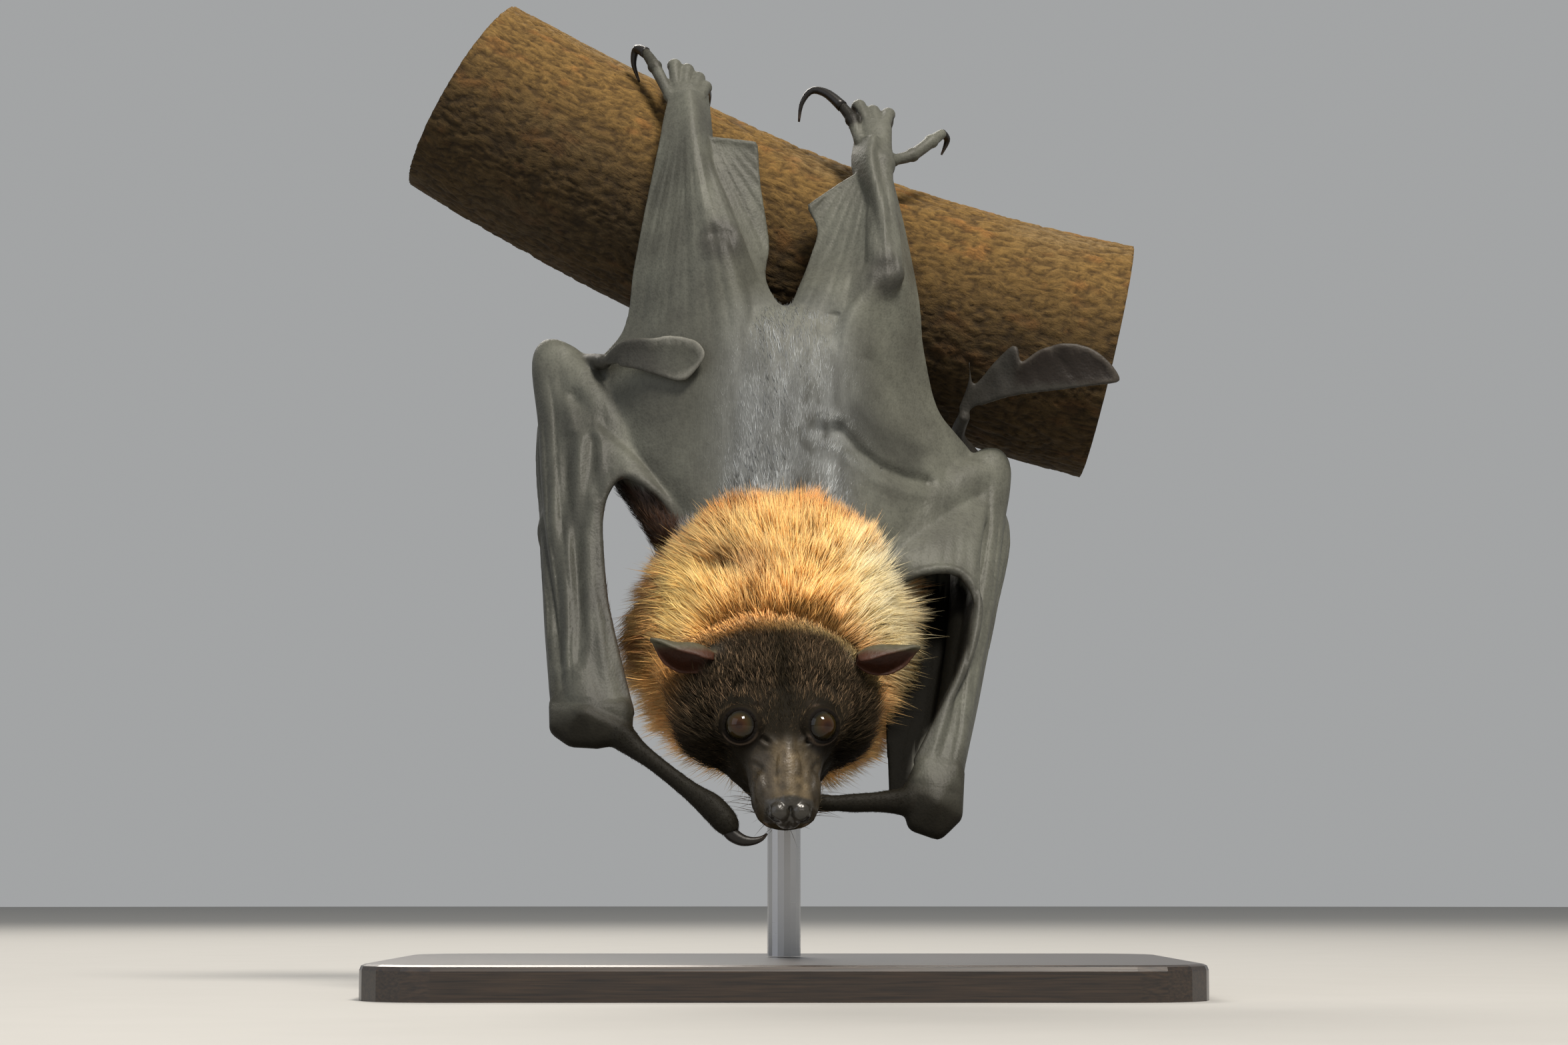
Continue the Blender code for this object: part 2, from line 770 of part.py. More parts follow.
def tail_web_rows(name):
    """Skin along the inside of the leg, from the ankle spur down to the crotch."""
    if name == "right":
        return [
            [(-33, -18, 302), (-21, -19, 300.5), (-10, -20, 299)],
            [(-30, -26, 287), (-20, -23, 285), (-9, -22, 284)],
            [(-23, -38, 266), (-14, -29, 264), (-6, -25, 263)],
            [(-16, -40, 247), (-7, -34, 246), (-1, -31, 244)],
        ]
    return [
        [(31, -18, 291), (20, -20, 284), (9, -22, 276)],
        [(33, -27, 277), (22, -25, 272), (12.5, -24, 267)],
        [(33, -37, 259), (21, -30, 256), (10, -27, 253)],
        [(20, -40, 243), (10, -35, 242), (4, -32, 241)],
    ]


# ------------------------------------------------------------------ assembly
for old in list(bpy.data.objects):
    bpy.data.objects.remove(old)

WHOLE_SHAPES = []  # each node's shape before its neighbours trim it
BARK = material("bark", (0.14, 0.085, 0.05), 0.9)
STAND_WOOD = material("stand wood", (0.02, 0.017, 0.015), 0.5)
STEEL = material("steel rod", (0.5, 0.5, 0.52), 0.35, 1.0)
MANTLE_FUR = material("mantle fur", (0.6, 0.33, 0.12), 0.9)
DARK_FUR = material("dark fur", (0.035, 0.03, 0.028), 0.85)
WING_SKIN = material("wing skin", (0.055, 0.052, 0.05), 0.6)
NOSE_SKIN = material("nose skin", (0.025, 0.022, 0.022), 0.35)
EYE = material("eye", (0.09, 0.04, 0.015), 0.08)
CLAW = material("claw", (0.012, 0.01, 0.01), 0.35)

build_piece("perch", perch_mesh(), BARK)
build_piece("stand_base", base_mesh(), STAND_WOOD)
build_piece("stand_rod", rod_mesh(), STEEL)

for s, own in ((-1, "right"), (1, "left")):
    place = on_head(s * EYE_PLACE[0], EYE_PLACE[1], EYE_PLACE[2])
    build_piece("eye_" + own, ball(place, (EYE_RADIUS,) * 3), EYE)

build_piece("nose_pad", fused(nose_meshes(), 0.9, 150), NOSE_SKIN)
build_piece("head", fused(head_meshes(), 1.8, 400), DARK_FUR)
build_piece("lower_jaw", fused([jaw_mesh()], 1.6, 130), DARK_FUR)
for s, own in ((-1, "right"), (1, "left")):
    build_piece("ear_" + own, ear_mesh(s), WING_SKIN)
build_piece("neck", mantle_mesh(), MANTLE_FUR)
build_piece(
    "chest",
    trunk_mesh(
        [
            (0, -40, 132, 30, 22),
            (0, -40, 150, 36, 27),
            (0, -39, 170, 36.5, 28),
            (0, -38, 190, 34, 26.5),
            (0, -38, 196, 33, 25.5),
        ],
        140,
    ),
    DARK_FUR,
)
build_piece(
    "loin",
    trunk_mesh(
        [
            (0, -38, 190, 34, 26.5),
            (0, -38, 208, 31, 24),
            (0, -39, 226, 25, 19),
            (1, -40, 238, 16, 12),
            (1, -41, 244, 7, 5),
        ],
        140,
    ),
    DARK_FUR,
)

for own, leg in LEGS.items():
    build_piece("thigh_" + own, fused([thigh_mesh(leg)], 2.2, 100), DARK_FUR)
    build_piece("shin_" + own, fused([shin_mesh(leg)], 1.5, 110), WING_SKIN)
    build_piece("foot_" + own, fused(foot_meshes(leg, TOES[own]), 0.8, 330), WING_SKIN)

for own, w in WINGS.items():
    build_piece("upper_arm_" + own, fused([upper_arm_mesh(w)], 2.2, 110), WING_SKIN)
    build_piece("forearm_" + own, fused([forearm_mesh(w)], 2.0, 130), WING_SKIN)
    build_piece("wrist_" + own, fused([wrist_mesh(w)], 1.8, 110), WING_SKIN)
    build_piece("thumb_" + own, fused([tube(thumb_stations(w), 8, 9)], 1.3, 80), WING_SKIN)
    claw = fused([tube(thumb_claw_stations(w), 8, 9)], 0.7, 70)
    build_piece("thumb_claw_" + own, claw, CLAW)
    build_piece("fingers_" + own, fused(fingers_meshes(w), 1.5, 190), WING_SKIN)
    build_piece("arm_web_" + own, fused(arm_web_meshes(w), 0.9, 190), WING_SKIN)
    build_piece("wing_tip_" + own, fused(wing_tip_meshes(w), 0.8, 130), WING_SKIN)
    web = fused([sheet(side_web_rows(w), 2.0, 6, 16)], 0.9, 190)
    build_piece("side_web_" + own, web, WING_SKIN, WEB_GAP)
    tail = fused([sheet(tail_web_rows(own), 1.5, 5, 8)], 0.9, 90)
    build_piece("tail_web_" + own, tail, WING_SKIN)
build_piece("palm_web_left", fused([palm_web_mesh()], 0.9, 90), WING_SKIN)
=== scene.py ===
"""The finished looks of a life-size Lyle's flying fox that hangs from a cut length of branch.

One skin covers the whole bat, from the claws' roots to the nose. It is joined from lofted forms,
remeshed and then modelled by small functions. The coat is tufts of solid mesh that grow from it.
Lengths are millimetres until MM turns them into Blender's metres. +Z is up, -Y is
the side that the bat's back and face are turned to, and its own right wing is on the -X side.
"""

import math

import bmesh
import bpy
import numpy as np
from mathutils import Matrix, Vector
from mathutils.kdtree import KDTree


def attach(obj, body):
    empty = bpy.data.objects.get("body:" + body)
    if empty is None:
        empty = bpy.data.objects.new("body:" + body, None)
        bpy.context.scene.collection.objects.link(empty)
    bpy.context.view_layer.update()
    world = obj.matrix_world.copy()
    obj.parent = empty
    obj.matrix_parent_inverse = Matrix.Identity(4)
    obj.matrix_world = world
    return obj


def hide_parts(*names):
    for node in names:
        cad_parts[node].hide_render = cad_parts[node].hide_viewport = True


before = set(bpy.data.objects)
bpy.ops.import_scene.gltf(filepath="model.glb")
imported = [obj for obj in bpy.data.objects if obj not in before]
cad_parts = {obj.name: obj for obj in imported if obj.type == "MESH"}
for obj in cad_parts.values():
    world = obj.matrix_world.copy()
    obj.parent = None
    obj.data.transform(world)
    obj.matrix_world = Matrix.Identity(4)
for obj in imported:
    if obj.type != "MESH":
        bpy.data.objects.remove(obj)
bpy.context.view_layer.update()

MM = 0.001
VOXEL = 0.5  # grid of the skin's remesh
SKIN_TRIANGLES = 192000
COAT_PIECE_TRIANGLES = 190000
PATCH = 0.003  # side of a tuft's patch in its map
SMOOTH_ROUNDS = 3  # of the whole skin, after the remesh
MELT_ROUNDS = 60  # more, where the forms have to flow into one another

# Driving dimensions of the pose, the same as the solids'.
PERCH_CENTRE = (0.0, 28.0, 267.0)
PERCH_SPAN = 236.0
PERCH_RADII = (37.5, 42.5)
PERCH_FALL = 0.42
PERCH_BEND = 0.0008
NOSE_TIP = (1.5, -94.0, 59.0)
HEAD_DROP = math.radians(61.0)
HEAD_TURN = math.radians(9.5)
FACE_LEAN = math.radians(55)  # of the plane across the face that the ears stand in
EYE_RADIUS = 5.9
EYE_PLACE = (12.9, 10.0, 29.8)  # side, up and back from the nose tip
EYE_OPENING = math.radians(57)  # half angle of the eye that the lids leave open
IRIS_DEGREES = 75  # half angle of the eyeball out to where its white begins
CORNEA_RISE = 0.25  # mm that the cornea stands out from the ball
NECK_AXIS = (-4.0, -44.0)
TRUNK_AXIS = (0.0, -39.0)

WINGS = {
    "right": {
        "side": -1,
        "shoulder": (-26, -44, 150),
        "elbow": (-79.5, -11, 218),
        "wrist": (-65, -77, 92),
        "finger_knuckle": (-82, -6, 196),
        "finger_start": 9,
        "finger_spread": [(3, -6), (4, 1), (1.5, 8), (-3, 13)],
        "knob": [
            (-75, -71, 98),
            (-74.5, -76, 90),
            (-70, -78, 86.8),
            (-62, -80, 86.2),
            (-54, -80, 87.6),
            (-53.5, -76, 96),
            (-73, -67, 92),
            (-57, -68, 90),
            (-66, -80, 94),
        ],
        "elbow_cap": [
            (-79, -13, 219, 9.2),
            (-71, -19, 211, 9.4),
            (-62.5, -26, 200, 9),
            (-53, -33, 185, 8.8),
            (-42, -42, 166, 8),
            (-33, -47, 152, 6.5),
        ],
        "rim": [
            (-31, -50, 157),
            (-44, -51, 172),
            (-56, -48, 178),
            (-63, -50, 165),
            (-61.5, -60, 137),
            (-57, -68, 117),
            (-51, -76, 94),
        ],
    },
    "left": {
        "side": 1,
        "shoulder": (26, -44, 144),
        "elbow": (71, -6, 180),
        "wrist": (50.5, -79, 64),
        "finger_knuckle": (75, -4, 160),
        "finger_start": 3,
        "finger_spread": [(2, -6), (3.2, 1), (1, 8), (-3.5, 13)],
        "knob": [
            (55.5, -80, 61),
            (50.5, -82, 56.2),
            (44, -81, 58.5),
            (42, -80, 67),
            (56.5, -75, 75),
            (47, -76, 77),
            (50, -71, 60),
            (55, -69, 68),
            (50, -83.5, 64),
        ],
        "elbow_cap": [
            (72, -9, 179.5, 8.6),
            (64, -15, 178.5, 8.8),
            (54.5, -23.5, 171, 8.6),
            (45, -33, 162, 8.4),
            (36, -41, 152, 8),
            (28, -45, 145, 6.5),
        ],
        "rim": [
            (28, -50, 136),
            (47, -52, 144),
            (60, -49, 144),
            (66, -51, 134),
            (64, -58, 119),
            (56, -66, 101),
            (44, -76, 78),
        ],
    },
}

LEGS = {
    "right": {"hip": (-13, -30, 222), "knee": (-21, -40, 260), "ankle": (-35, -18, 305)},
    "left": {"hip": (14, -30, 218), "knee": (35, -41, 249), "ankle": (34, -18, 292)},
}

# Each toe's route from its root to its nail, and its claw's from there to the tip.
TOES = {
    "right": [
        ([(-41, -11, 319), (-46.5, -5, 331), (-50.5, 0, 338)],
         [(-50, -1, 337), (-53.5, 2, 339), (-54.5, 4, 334), (-52.5, 6, 328)]),
        ([(-38.5, -9, 322), (-39.5, -4, 331.5), (-38.5, 3, 333)],
         [(-38.5, 2, 333), (-38, 8, 332), (-37.5, 12, 328)]),
        ([(-35.5, -9, 322), (-35, -3, 330), (-34, 3, 330)],
         [(-34, 2, 330), (-33.5, 8, 329), (-33, 12, 325)]),
        ([(-32.5, -10, 320), (-31, -3, 327), (-30.5, 3, 327)],
         [(-30.5, 2, 327), (-30, 8, 326), (-30, 12, 322)]),
        ([(-31, -12, 316), (-28.5, -4, 323.5), (-28, 3, 324)],
         [(-28, 2, 324), (-27.5, 8, 323), (-27.5, 12, 319)]),
    ],
    "left": [
        ([(27, -11, 303), (24.5, -7, 311), (20, -3, 318)],
         [(21, -4, 316.5), (15.5, -1, 322), (10, 1, 323.5), (6.4, 2, 319), (5.4, 3, 312.5)]),
        ([(30, -8, 309), (27, -2, 317), (25.5, 4, 317)],
         [(25.5, 5, 317), (24.5, 9, 316), (24, 12, 312)]),
        ([(33, -8, 309), (32, -2, 315), (31.5, 4, 314)],
         [(31.5, 5, 314), (31, 9, 313), (31, 13, 309)]),
        ([(36, -9, 307), (37.5, -2, 314), (38, 4, 312)],
         [(38, 5, 312), (38, 9, 311), (38, 12, 307)]),
        ([(39, -13, 295), (46, -8, 298), (53, -3, 304), (57.5, 1, 308)],
         [(57, 1, 308), (59, 4, 306), (57, 6, 301)]),
    ],
}

YEAR_RING = 3.6  # mm from ring to ring of the branch's wood
FLOOR_RADIUS = 6.0  # metres, as are the next two
LIGHT_AIM = Vector((0.0, -0.04, 0.17))
CAMERA_PLACE = (0.0, -1.2354, 0.03657)
CAMERA_RISE = math.radians(6)


# ------------------------------------------------------------------ shaping tools
def spline(rows, count):
    """Points of a smooth curve through the rows, as an array of that many rows."""
    rows = np.array(rows, float)
    last = len(rows) - 1
    t = np.linspace(0, last, count)
    i = np.minimum(t.astype(int), last - 1)
    f = (t - i)[:, None]
    a = rows[np.maximum(i - 1, 0)]
    b = rows[i]
    c = rows[i + 1]
    d = rows[np.minimum(i + 2, last)]
    bend = 2 * a - 5 * b + 4 * c - d
    return 0.5 * (2 * b + (c - a) * f + bend * f**2 + (3 * b - a - 3 * c + d) * f**3)


def between(a, b, share):
    """The point that lies that share of the way from a to b."""
    return tuple(p + (q - p) * share for p, q in zip(a, b, strict=True))


def shifted(point, dx=0, dy=0, dz=0):
    return (point[0] + dx, point[1] + dy, point[2] + dz)


def mesh_of(bm, name):
    """Ends a bmesh, and gives its shape to a new mesh."""
    mesh = bpy.data.meshes.new(name)
    bm.to_mesh(mesh)
    bm.free()
    return mesh


def pour(small, bm):
    """Moves everything in the small bmesh into the other one."""
    carrier = mesh_of(small, "carrier")
    bm.from_mesh(carrier)
    bpy.data.meshes.remove(carrier)


def tube(bm, stations, sides=20, rings=24, flat=(1, 0, 0)):
    """Adds a closed tube. A station is x, y, z, half width along flat, and half depth."""
    rows = spline(stations, rings)
    own = bmesh.new()
    centres = [Vector(row[:3]) for row in rows]
    loops = []
    for k, row in enumerate(rows):
        ahead = (centres[min(k + 1, rings - 1)] - centres[max(k - 1, 0)]).normalized()
        wide = (Vector(flat) - ahead * ahead.dot(Vector(flat))).normalized()
        turn = Matrix((wide, ahead.cross(wide), ahead)).transposed().to_4x4()
        size = Matrix.Diagonal((max(row[3], 0.2), max(row[4], 0.2), 1, 1))
        ring = bmesh.ops.create_circle(
            own,
            segments=sides,
            radius=1.0,
            cap_ends=k in (0, rings - 1),
            matrix=Matrix.Translation(centres[k]) @ turn @ size,
        )["verts"]
        loops.append({e for v in ring for e in v.link_edges})
    for first, second in zip(loops, loops[1:], strict=False):
        bmesh.ops.bridge_loops(own, edges=list(first | second))
    bmesh.ops.recalc_face_normals(own, faces=own.faces[:])
    pour(own, bm)


def round_tube(bm, points, radii, sides=12, rings=24):
    tube(bm, [(*p, r, r) for p, r in zip(points, radii, strict=True)], sides, rings)


def sheet(bm, rows, thickness, across=24, along=60):
    """Adds a thin closed sheet through rows of points, all rows of one length."""
    width = len(rows[0])
    flat_rows = spline([[c for point in row for c in point] for row in rows], along)
    lines = [spline(row.reshape(width, 3), across) for row in flat_rows]
    own = bmesh.new()
    bmesh.ops.create_grid(own, x_segments=across - 1, y_segments=along - 1, size=0.5)
    for v in own.verts:
        i = round((v.co.x + 0.5) * (across - 1))
        j = round((v.co.y + 0.5) * (along - 1))
        v.co = Vector(lines[j][i])
    own.normal_update()
    for v in own.verts:
        v.co += v.normal * thickness / 2
    bmesh.ops.solidify(own, geom=own.faces[:], thickness=thickness)
    bmesh.ops.recalc_face_normals(own, faces=own.faces[:])
    pour(own, bm)


def ball(bm, centre, radii):
    place = Matrix.Translation(Vector(centre)) @ Matrix.Diagonal((*radii, 1))
    own = bmesh.new()
    bmesh.ops.create_icosphere(own, subdivisions=4, radius=1.0, matrix=place)
    pour(own, bm)


def torus(bm, centre, axis, radius, thickness):
    """Adds a closed ring round the axis."""
    turn = Vector(axis).to_track_quat("Z", "Y").to_matrix().to_4x4()
    place = Matrix.Translation(Vector(centre)) @ turn
    start = place @ Matrix.Translation((radius, 0, 0)) @ Matrix.Rotation(math.pi / 2, 4, "X")
    own = bmesh.new()
    bmesh.ops.create_circle(own, segments=14, radius=thickness, matrix=start)
    bmesh.ops.spin(
        own,
        geom=own.verts[:] + own.edges[:],
        cent=Vector(centre),
        axis=Vector(axis),
        angle=2 * math.pi,
        steps=40,
        use_merge=True,
    )
    bmesh.ops.recalc_face_normals(own, faces=own.faces[:])
    pour(own, bm)


def head_matrix():
    """Turns side, up and back from the nose tip into the row frame."""
    ahead = Vector((0, -math.cos(HEAD_DROP), -math.sin(HEAD_DROP)))
    up = Vector((0, -math.sin(HEAD_DROP), math.cos(HEAD_DROP)))
    turn = Matrix.Rotation(HEAD_TURN, 3, Vector((0, 0, 1)))
    axes = Matrix((turn @ Vector((1, 0, 0)), turn @ up, -(turn @ ahead))).transposed()
    return Matrix.Translation(Vector(NOSE_TIP)) @ axes.to_4x4()


HEAD = head_matrix()


def on_head(side, up, back):
    return tuple(HEAD @ Vector((side, up, back)))


def head_direction(side, up, back):
    return (HEAD.to_3x3() @ Vector((side, up, back))).normalized()


def eye_centre(s):
    return Vector(on_head(s * EYE_PLACE[0] - 1.8, EYE_PLACE[1], EYE_PLACE[2]))


def gaze(s):
    """The way an eye looks: ahead of the brow, up off the muzzle, and a little outward."""
    return head_direction(s * 0.34, 0.86, -0.52)


# ------------------------------------------------------------------ forms under the skin
def trunk_form(bm):
    body = [
        (0, -40, 132, 28, 20),
        (0, -40, 150, 34.5, 25.5),
        (0, -39, 170, 35, 26.5),
        (0, -38, 190, 32.5, 25),
        (0, -38, 208, 29.5, 22.5),
        (0, -39, 224, 23.5, 17.5),
        (1, -40, 233, 14.5, 10.5),
        (1, -41, 238, 5.5, 3.5),
    ]
    tube(bm, body, 40, 40)
    pelvis = [(-20, -36, 226), (-8, -39, 227), (8, -39, 226), (21, -36, 223)]
    tube(bm, [(*p, 11, 11) for p in pelvis], 24, 20, (0, 0, 1))


def neck_form(bm):
    neck = [
        (-4, -45, 170, 24, 14),
        (-4, -45, 158, 33, 21),
        (-4, -45, 140, 38, 22.5),
        (-4, -44, 123, 38.5, 22.5),
        (-3, -45, 108, 35.5, 19.5),
        (-1, -46, 95, 31, 15),
        (0, -48, 86, 25.5, 11),
        (0, -50, 79, 13, 6),
    ]
    tube(bm, neck, 40, 30)


def head_tube(bm, stations, sides, rings):
    """A tube along the middle of the head. A station is up, back, half width and half height."""
    rows = [(*on_head(0, up, back), wide, high) for up, back, wide, high in stations]
    tube(bm, rows, sides, rings, HEAD.to_3x3() @ Vector((1, 0, 0)))


def head_forms(bm):
    skull = [
        (-1.5, 1, 7.6, 6.4),
        (-1.7, 4, 10.4, 8.6),
        (-1.5, 12, 11.6, 9.8),
        (-1, 20, 12.8, 10.6),
        (0, 27, 17.5, 12.2),
        (0, 34, 24.5, 14.6),
        (0, 43, 27.5, 16.4),
        (0, 52, 28.5, 17.2),
        (-0.5, 61, 27, 15.5),
        (-1, 70, 19, 11),
    ]
    head_tube(bm, skull, 36, 44)
    jaw = [
        (-8, 3.2, 4.6, 3.2),
        (-9, 9, 7.2, 4.2),
        (-11, 17, 10.5, 5.4),
        (-12.5, 25, 17, 7),
        (-13, 34, 22, 9),
        (-13, 43, 24, 10),
        (-12, 52, 22, 8),
    ]
    head_tube(bm, jaw, 28, 30)
    bridge = [
        (4.6, 1.8, 3.2, 2.0),
        (5.6, 7, 4.3, 3.0),
        (7.2, 14, 4.2, 3.3),
        (8.2, 22, 3.8, 3.8),
        (9, 31, 6, 5),
    ]
    head_tube(bm, bridge, 20, 24)
    cheeks = [
        (-5, 17, 11, 8.4),
        (-6, 25, 17, 10.5),
        (-7, 34, 24, 13),
        (-7, 43, 26.5, 14.5),
        (-6, 54, 25, 13),
    ]
    head_tube(bm, cheeks, 28, 24)
    # Cheekbones, lips, rims and sockets of the eyes, brow spots and nostrils, then the nose's tip.
    for s in (-1, 1):
        ball(bm, on_head(s * 11.5, 9.6, 37), (6, 4.8, 7))
        ball(bm, on_head(s * 7.4, 0.6, 10), (4.2, 5.2, 7.2))
        torus(bm, eye_centre(s) + gaze(s) * 2.3, gaze(s), 5.55, 0.6)
        ball(bm, eye_centre(s) - gaze(s) * 2.2, (8.2, 8.2, 7.4))
        ball(bm, on_head(s * 8.9, 13.2, 36), (1.6, 1.5, 1.9))
        ball(bm, on_head(s * 3.6, 2.9, 1.2), (3.6, 3.7, 3.7))
    ball(bm, on_head(0, -1.2, 0.9), (4.4, 4.2, 3.4))


def on_face(side, rise, out):
    """A point near the head by its side, its rise up the face, and how far it stands out from it."""
    up = rise * math.cos(FACE_LEAN) + out * math.sin(FACE_LEAN)
    back = rise * math.sin(FACE_LEAN) - out * math.cos(FACE_LEAN)
    return on_head(side, up, back)


def ear_form(bm, s):
    """A pointed leaf, curled over along its top edge, with its hollow turned ahead and down."""
    tip, peak = (48, 56.4) if s > 0 else (44, 58)
    # Along the ear: side, bottom edge, top edge, depth of the hollow, and how far
    # the top edge curls out and down over it.
    stations = [
        (tip - 22, 49.6, 53.0, 2.6, 2.0, 2.2),
        (tip - 18.5, 47.2, 55.2, 4.2, 3.6, 3.9),
        (tip - 14, 46.2, 56.4, 4.6, 3.6, 3.6),
        (tip - 9.5, 46.9, 56.3, 4.0, 2.6, 2.5),
        (tip - 4.8, 49.8, 56.3 + (peak - 56.3) * 0.6, 2.4, 1.3, 1.4),
        (tip, peak - 0.7, peak, 0.5, 0.2, 0.2),
    ]
    rows = []
    for side, low, high, deep, curl, lap in stations:
        tall = high - low
        row = [(low, -1.0), (low + 0.30 * tall, -deep), (low + 0.72 * tall, -deep)]
        row += [(high, -0.25 * deep), (high - lap, curl)]
        rows.append([on_face(s * side, rise, out - 22.5) for rise, out in row])
    sheet(bm, rows, 1.15, 30, 40)


def upper_arm_form(bm, w):
    middle = between(w["shoulder"], w["elbow"], 0.5)
    stations = [
        (*w["shoulder"], 12, 12),
        (*shifted(middle, w["side"], -2, 2), 10, 9.5),
        (*between(w["shoulder"], w["elbow"], 0.85), 8.8, 8.2),
        (*w["elbow"], 8, 8),
    ]
    tube(bm, stations, 24, 20)
    ball(bm, w["elbow"], (8.4, 8.4, 9))


def forearm_form(bm, w):
    s = w["side"]
    elbow, wrist = w["elbow"], w["wrist"]
    stations = [
        (*shifted(elbow, 0, 1, 11), 4, 4),
        (*shifted(elbow, s * 0.5, -1, 5), 9.2, 8.8),
        (*between(elbow, wrist, 0.15), 9.3, 8.8),
        (*shifted(between(elbow, wrist, 0.4), s * 2), 7.8, 7),
        (*shifted(between(elbow, wrist, 0.7), s * 1.5), 6.4, 6),
        (*between(elbow, wrist, 0.93), 7.6, 6.4),
        (*wrist, 7, 6),
    ]
    tube(bm, stations, 24, 40)


def wrist_form(bm, w):
    """The angular knob of the wrist: the ends of the hand's bones under tight skin."""
    own = bmesh.new()
    for corner in w["knob"]:
        bmesh.ops.create_icosphere(own, subdivisions=2, radius=3.8, matrix=Matrix.Translation(corner))
    hull = bmesh.ops.convex_hull(own, input=own.verts[:])
    bmesh.ops.delete(own, geom=hull["geom_interior"], context="VERTS")
    bmesh.ops.recalc_face_normals(own, faces=own.faces[:])
    pour(own, bm)


def thumb_route(w):
    """The thumb's route: the right one slants down to the mouth, the left one runs level."""
    c = w["wrist"]
    if w["side"] < 0:
        steps = [(11, -3, -5, 5.0), (16, -5, -9.4, 3.6), (22.6, -8, -14.4, 2.9), (33.6, -11, -23, 3.2)]
        steps += [(41, -13.5, -28.6, 4.4), (46, -15, -34, 4.2), (47.5, -15, -37, 3.0)]
    else:
        steps = [(-8, -1, 1, 5.4), (-14, -1, 1.2, 4.2), (-20, -2.5, 1, 3.4), (-26.5, -3, 0.7, 3.2)]
        steps += [(-33, -3.5, 0.6, 2.7), (-38, -3, 0.6, 2.9), (-41, -2, 0.6, 2.4)]
    return [(*shifted(c, dx, dy, dz), r, r) for dx, dy, dz, r in steps]


def thumb_claw_route(w):
    end = thumb_route(w)[-1]
    if w["side"] < 0:
        steps = [(-1.5, 0, 2.4, 2.3), (0.4, -0.3, -0.6, 2.4), (3.6, -0.6, -2.6, 2.0)]
        steps += [(7, -0.4, -3, 1.4), (10, 0.4, -2.2, 0.9), (12, 1, -0.6, 0.35)]
    else:
        steps = [(3, -0.5, 0, 2.4), (-1.4, 1.5, -0.2, 2.4), (-4, 5, -0.8, 1.9)]
        steps += [(-5, 8.5, -2.2, 1.4), (-4.6, 11, -4.2, 0.9), (-3.4, 12.5, -6.2, 0.35)]
    return [(*shifted(end[:3], dx, dy, dz), r, r) for dx, dy, dz, r in steps]


def finger_routes(w):
    """Middle lines of the four folded fingers, from the wrist up past the elbow."""
    s = w["side"]
    wrist, knuckle, elbow = w["wrist"], w["finger_knuckle"], w["elbow"]
    start = shifted(wrist, s * w["finger_start"], 4, 0)
    end = shifted(elbow, -s * 2, 18, 8)
    routes = []
    for out, back in w["finger_spread"]:
        third = shifted(between(start, knuckle, 0.38), s * out * 0.7, back * 0.9, 0)
        two_thirds = shifted(between(start, knuckle, 0.72), s * out, back, 0)
        top = shifted(knuckle, s * out * 0.9, back, 4)
        routes.append([start, third, two_thirds, top, end])
    return routes


def finger_forms(bm, w):
    """The long fingers lying along the forearm with their wing skin folded between."""
    s = w["side"]
    routes = finger_routes(w)
    for route in routes:
        round_tube(bm, route, (3.0, 2.4, 2.2, 2.5, 1.7), 12, 36)
    if s < 0:
        ball(bm, (-82, -33, 160), (3.6, 4.6, 8))
    middle = [between(p, q, 0.5) for p, q in zip(routes[0], routes[3], strict=True)]
    sizes = ((5.6, 5.6), (7.4, 10.4), (7.4, 11.4), (6.4, 10.4), (2.6, 4.6))
    pad = [(*shifted(p, -s * 2), a, b) for p, (a, b) in zip(middle, sizes, strict=True)]
    tube(bm, pad, 28, 40)


def arm_web_forms(bm, w):
    """The skin in front of the arm, between upper arm and forearm, with its rounded rim."""
    s = w["side"]
    shoulder, elbow, wrist = w["shoulder"], w["elbow"], w["wrist"]
    bone = [
        shifted(shoulder, s * 4, -4, 8),
        shifted(between(shoulder, elbow, 0.5), 0, -5, 4),
        shifted(elbow, 0, -4, -4),
        shifted(between(elbow, wrist, 0.2), 0, -3, 0),
        between(elbow, wrist, 0.45),
        between(elbow, wrist, 0.7),
        between(elbow, wrist, 0.93),
    ]
    cover = (-1, -3, -5.5, -5.5, -5, -4.5, -3)  # brings the skin over the front of the bones
    sunk = [(-7, 8, 4), (-6, 8, 5), (-3, 8, 4), (3, 7, 0), (3, 7, 0), (3, 6, 0), (2, 5, 0)]
    rim = w["rim"]
    rows = []
    for p, q, dy, hide in zip(bone, rim, cover, sunk, strict=True):
        hidden = shifted(p, s * hide[0], hide[1], hide[2])
        rows.append([hidden, shifted(p, 0, dy), shifted(between(p, q, 0.55), 0, 0.6 * dy - 2.5), q])
    sheet(bm, rows, 1.5, 32, 80)
    tube(bm, [(*p, 1.7, 1.7) for p in rim], 12, 50)
    cap = w["elbow_cap"]
    round_tube(bm, [p[:3] for p in cap], [p[3] for p in cap], 20, 30)


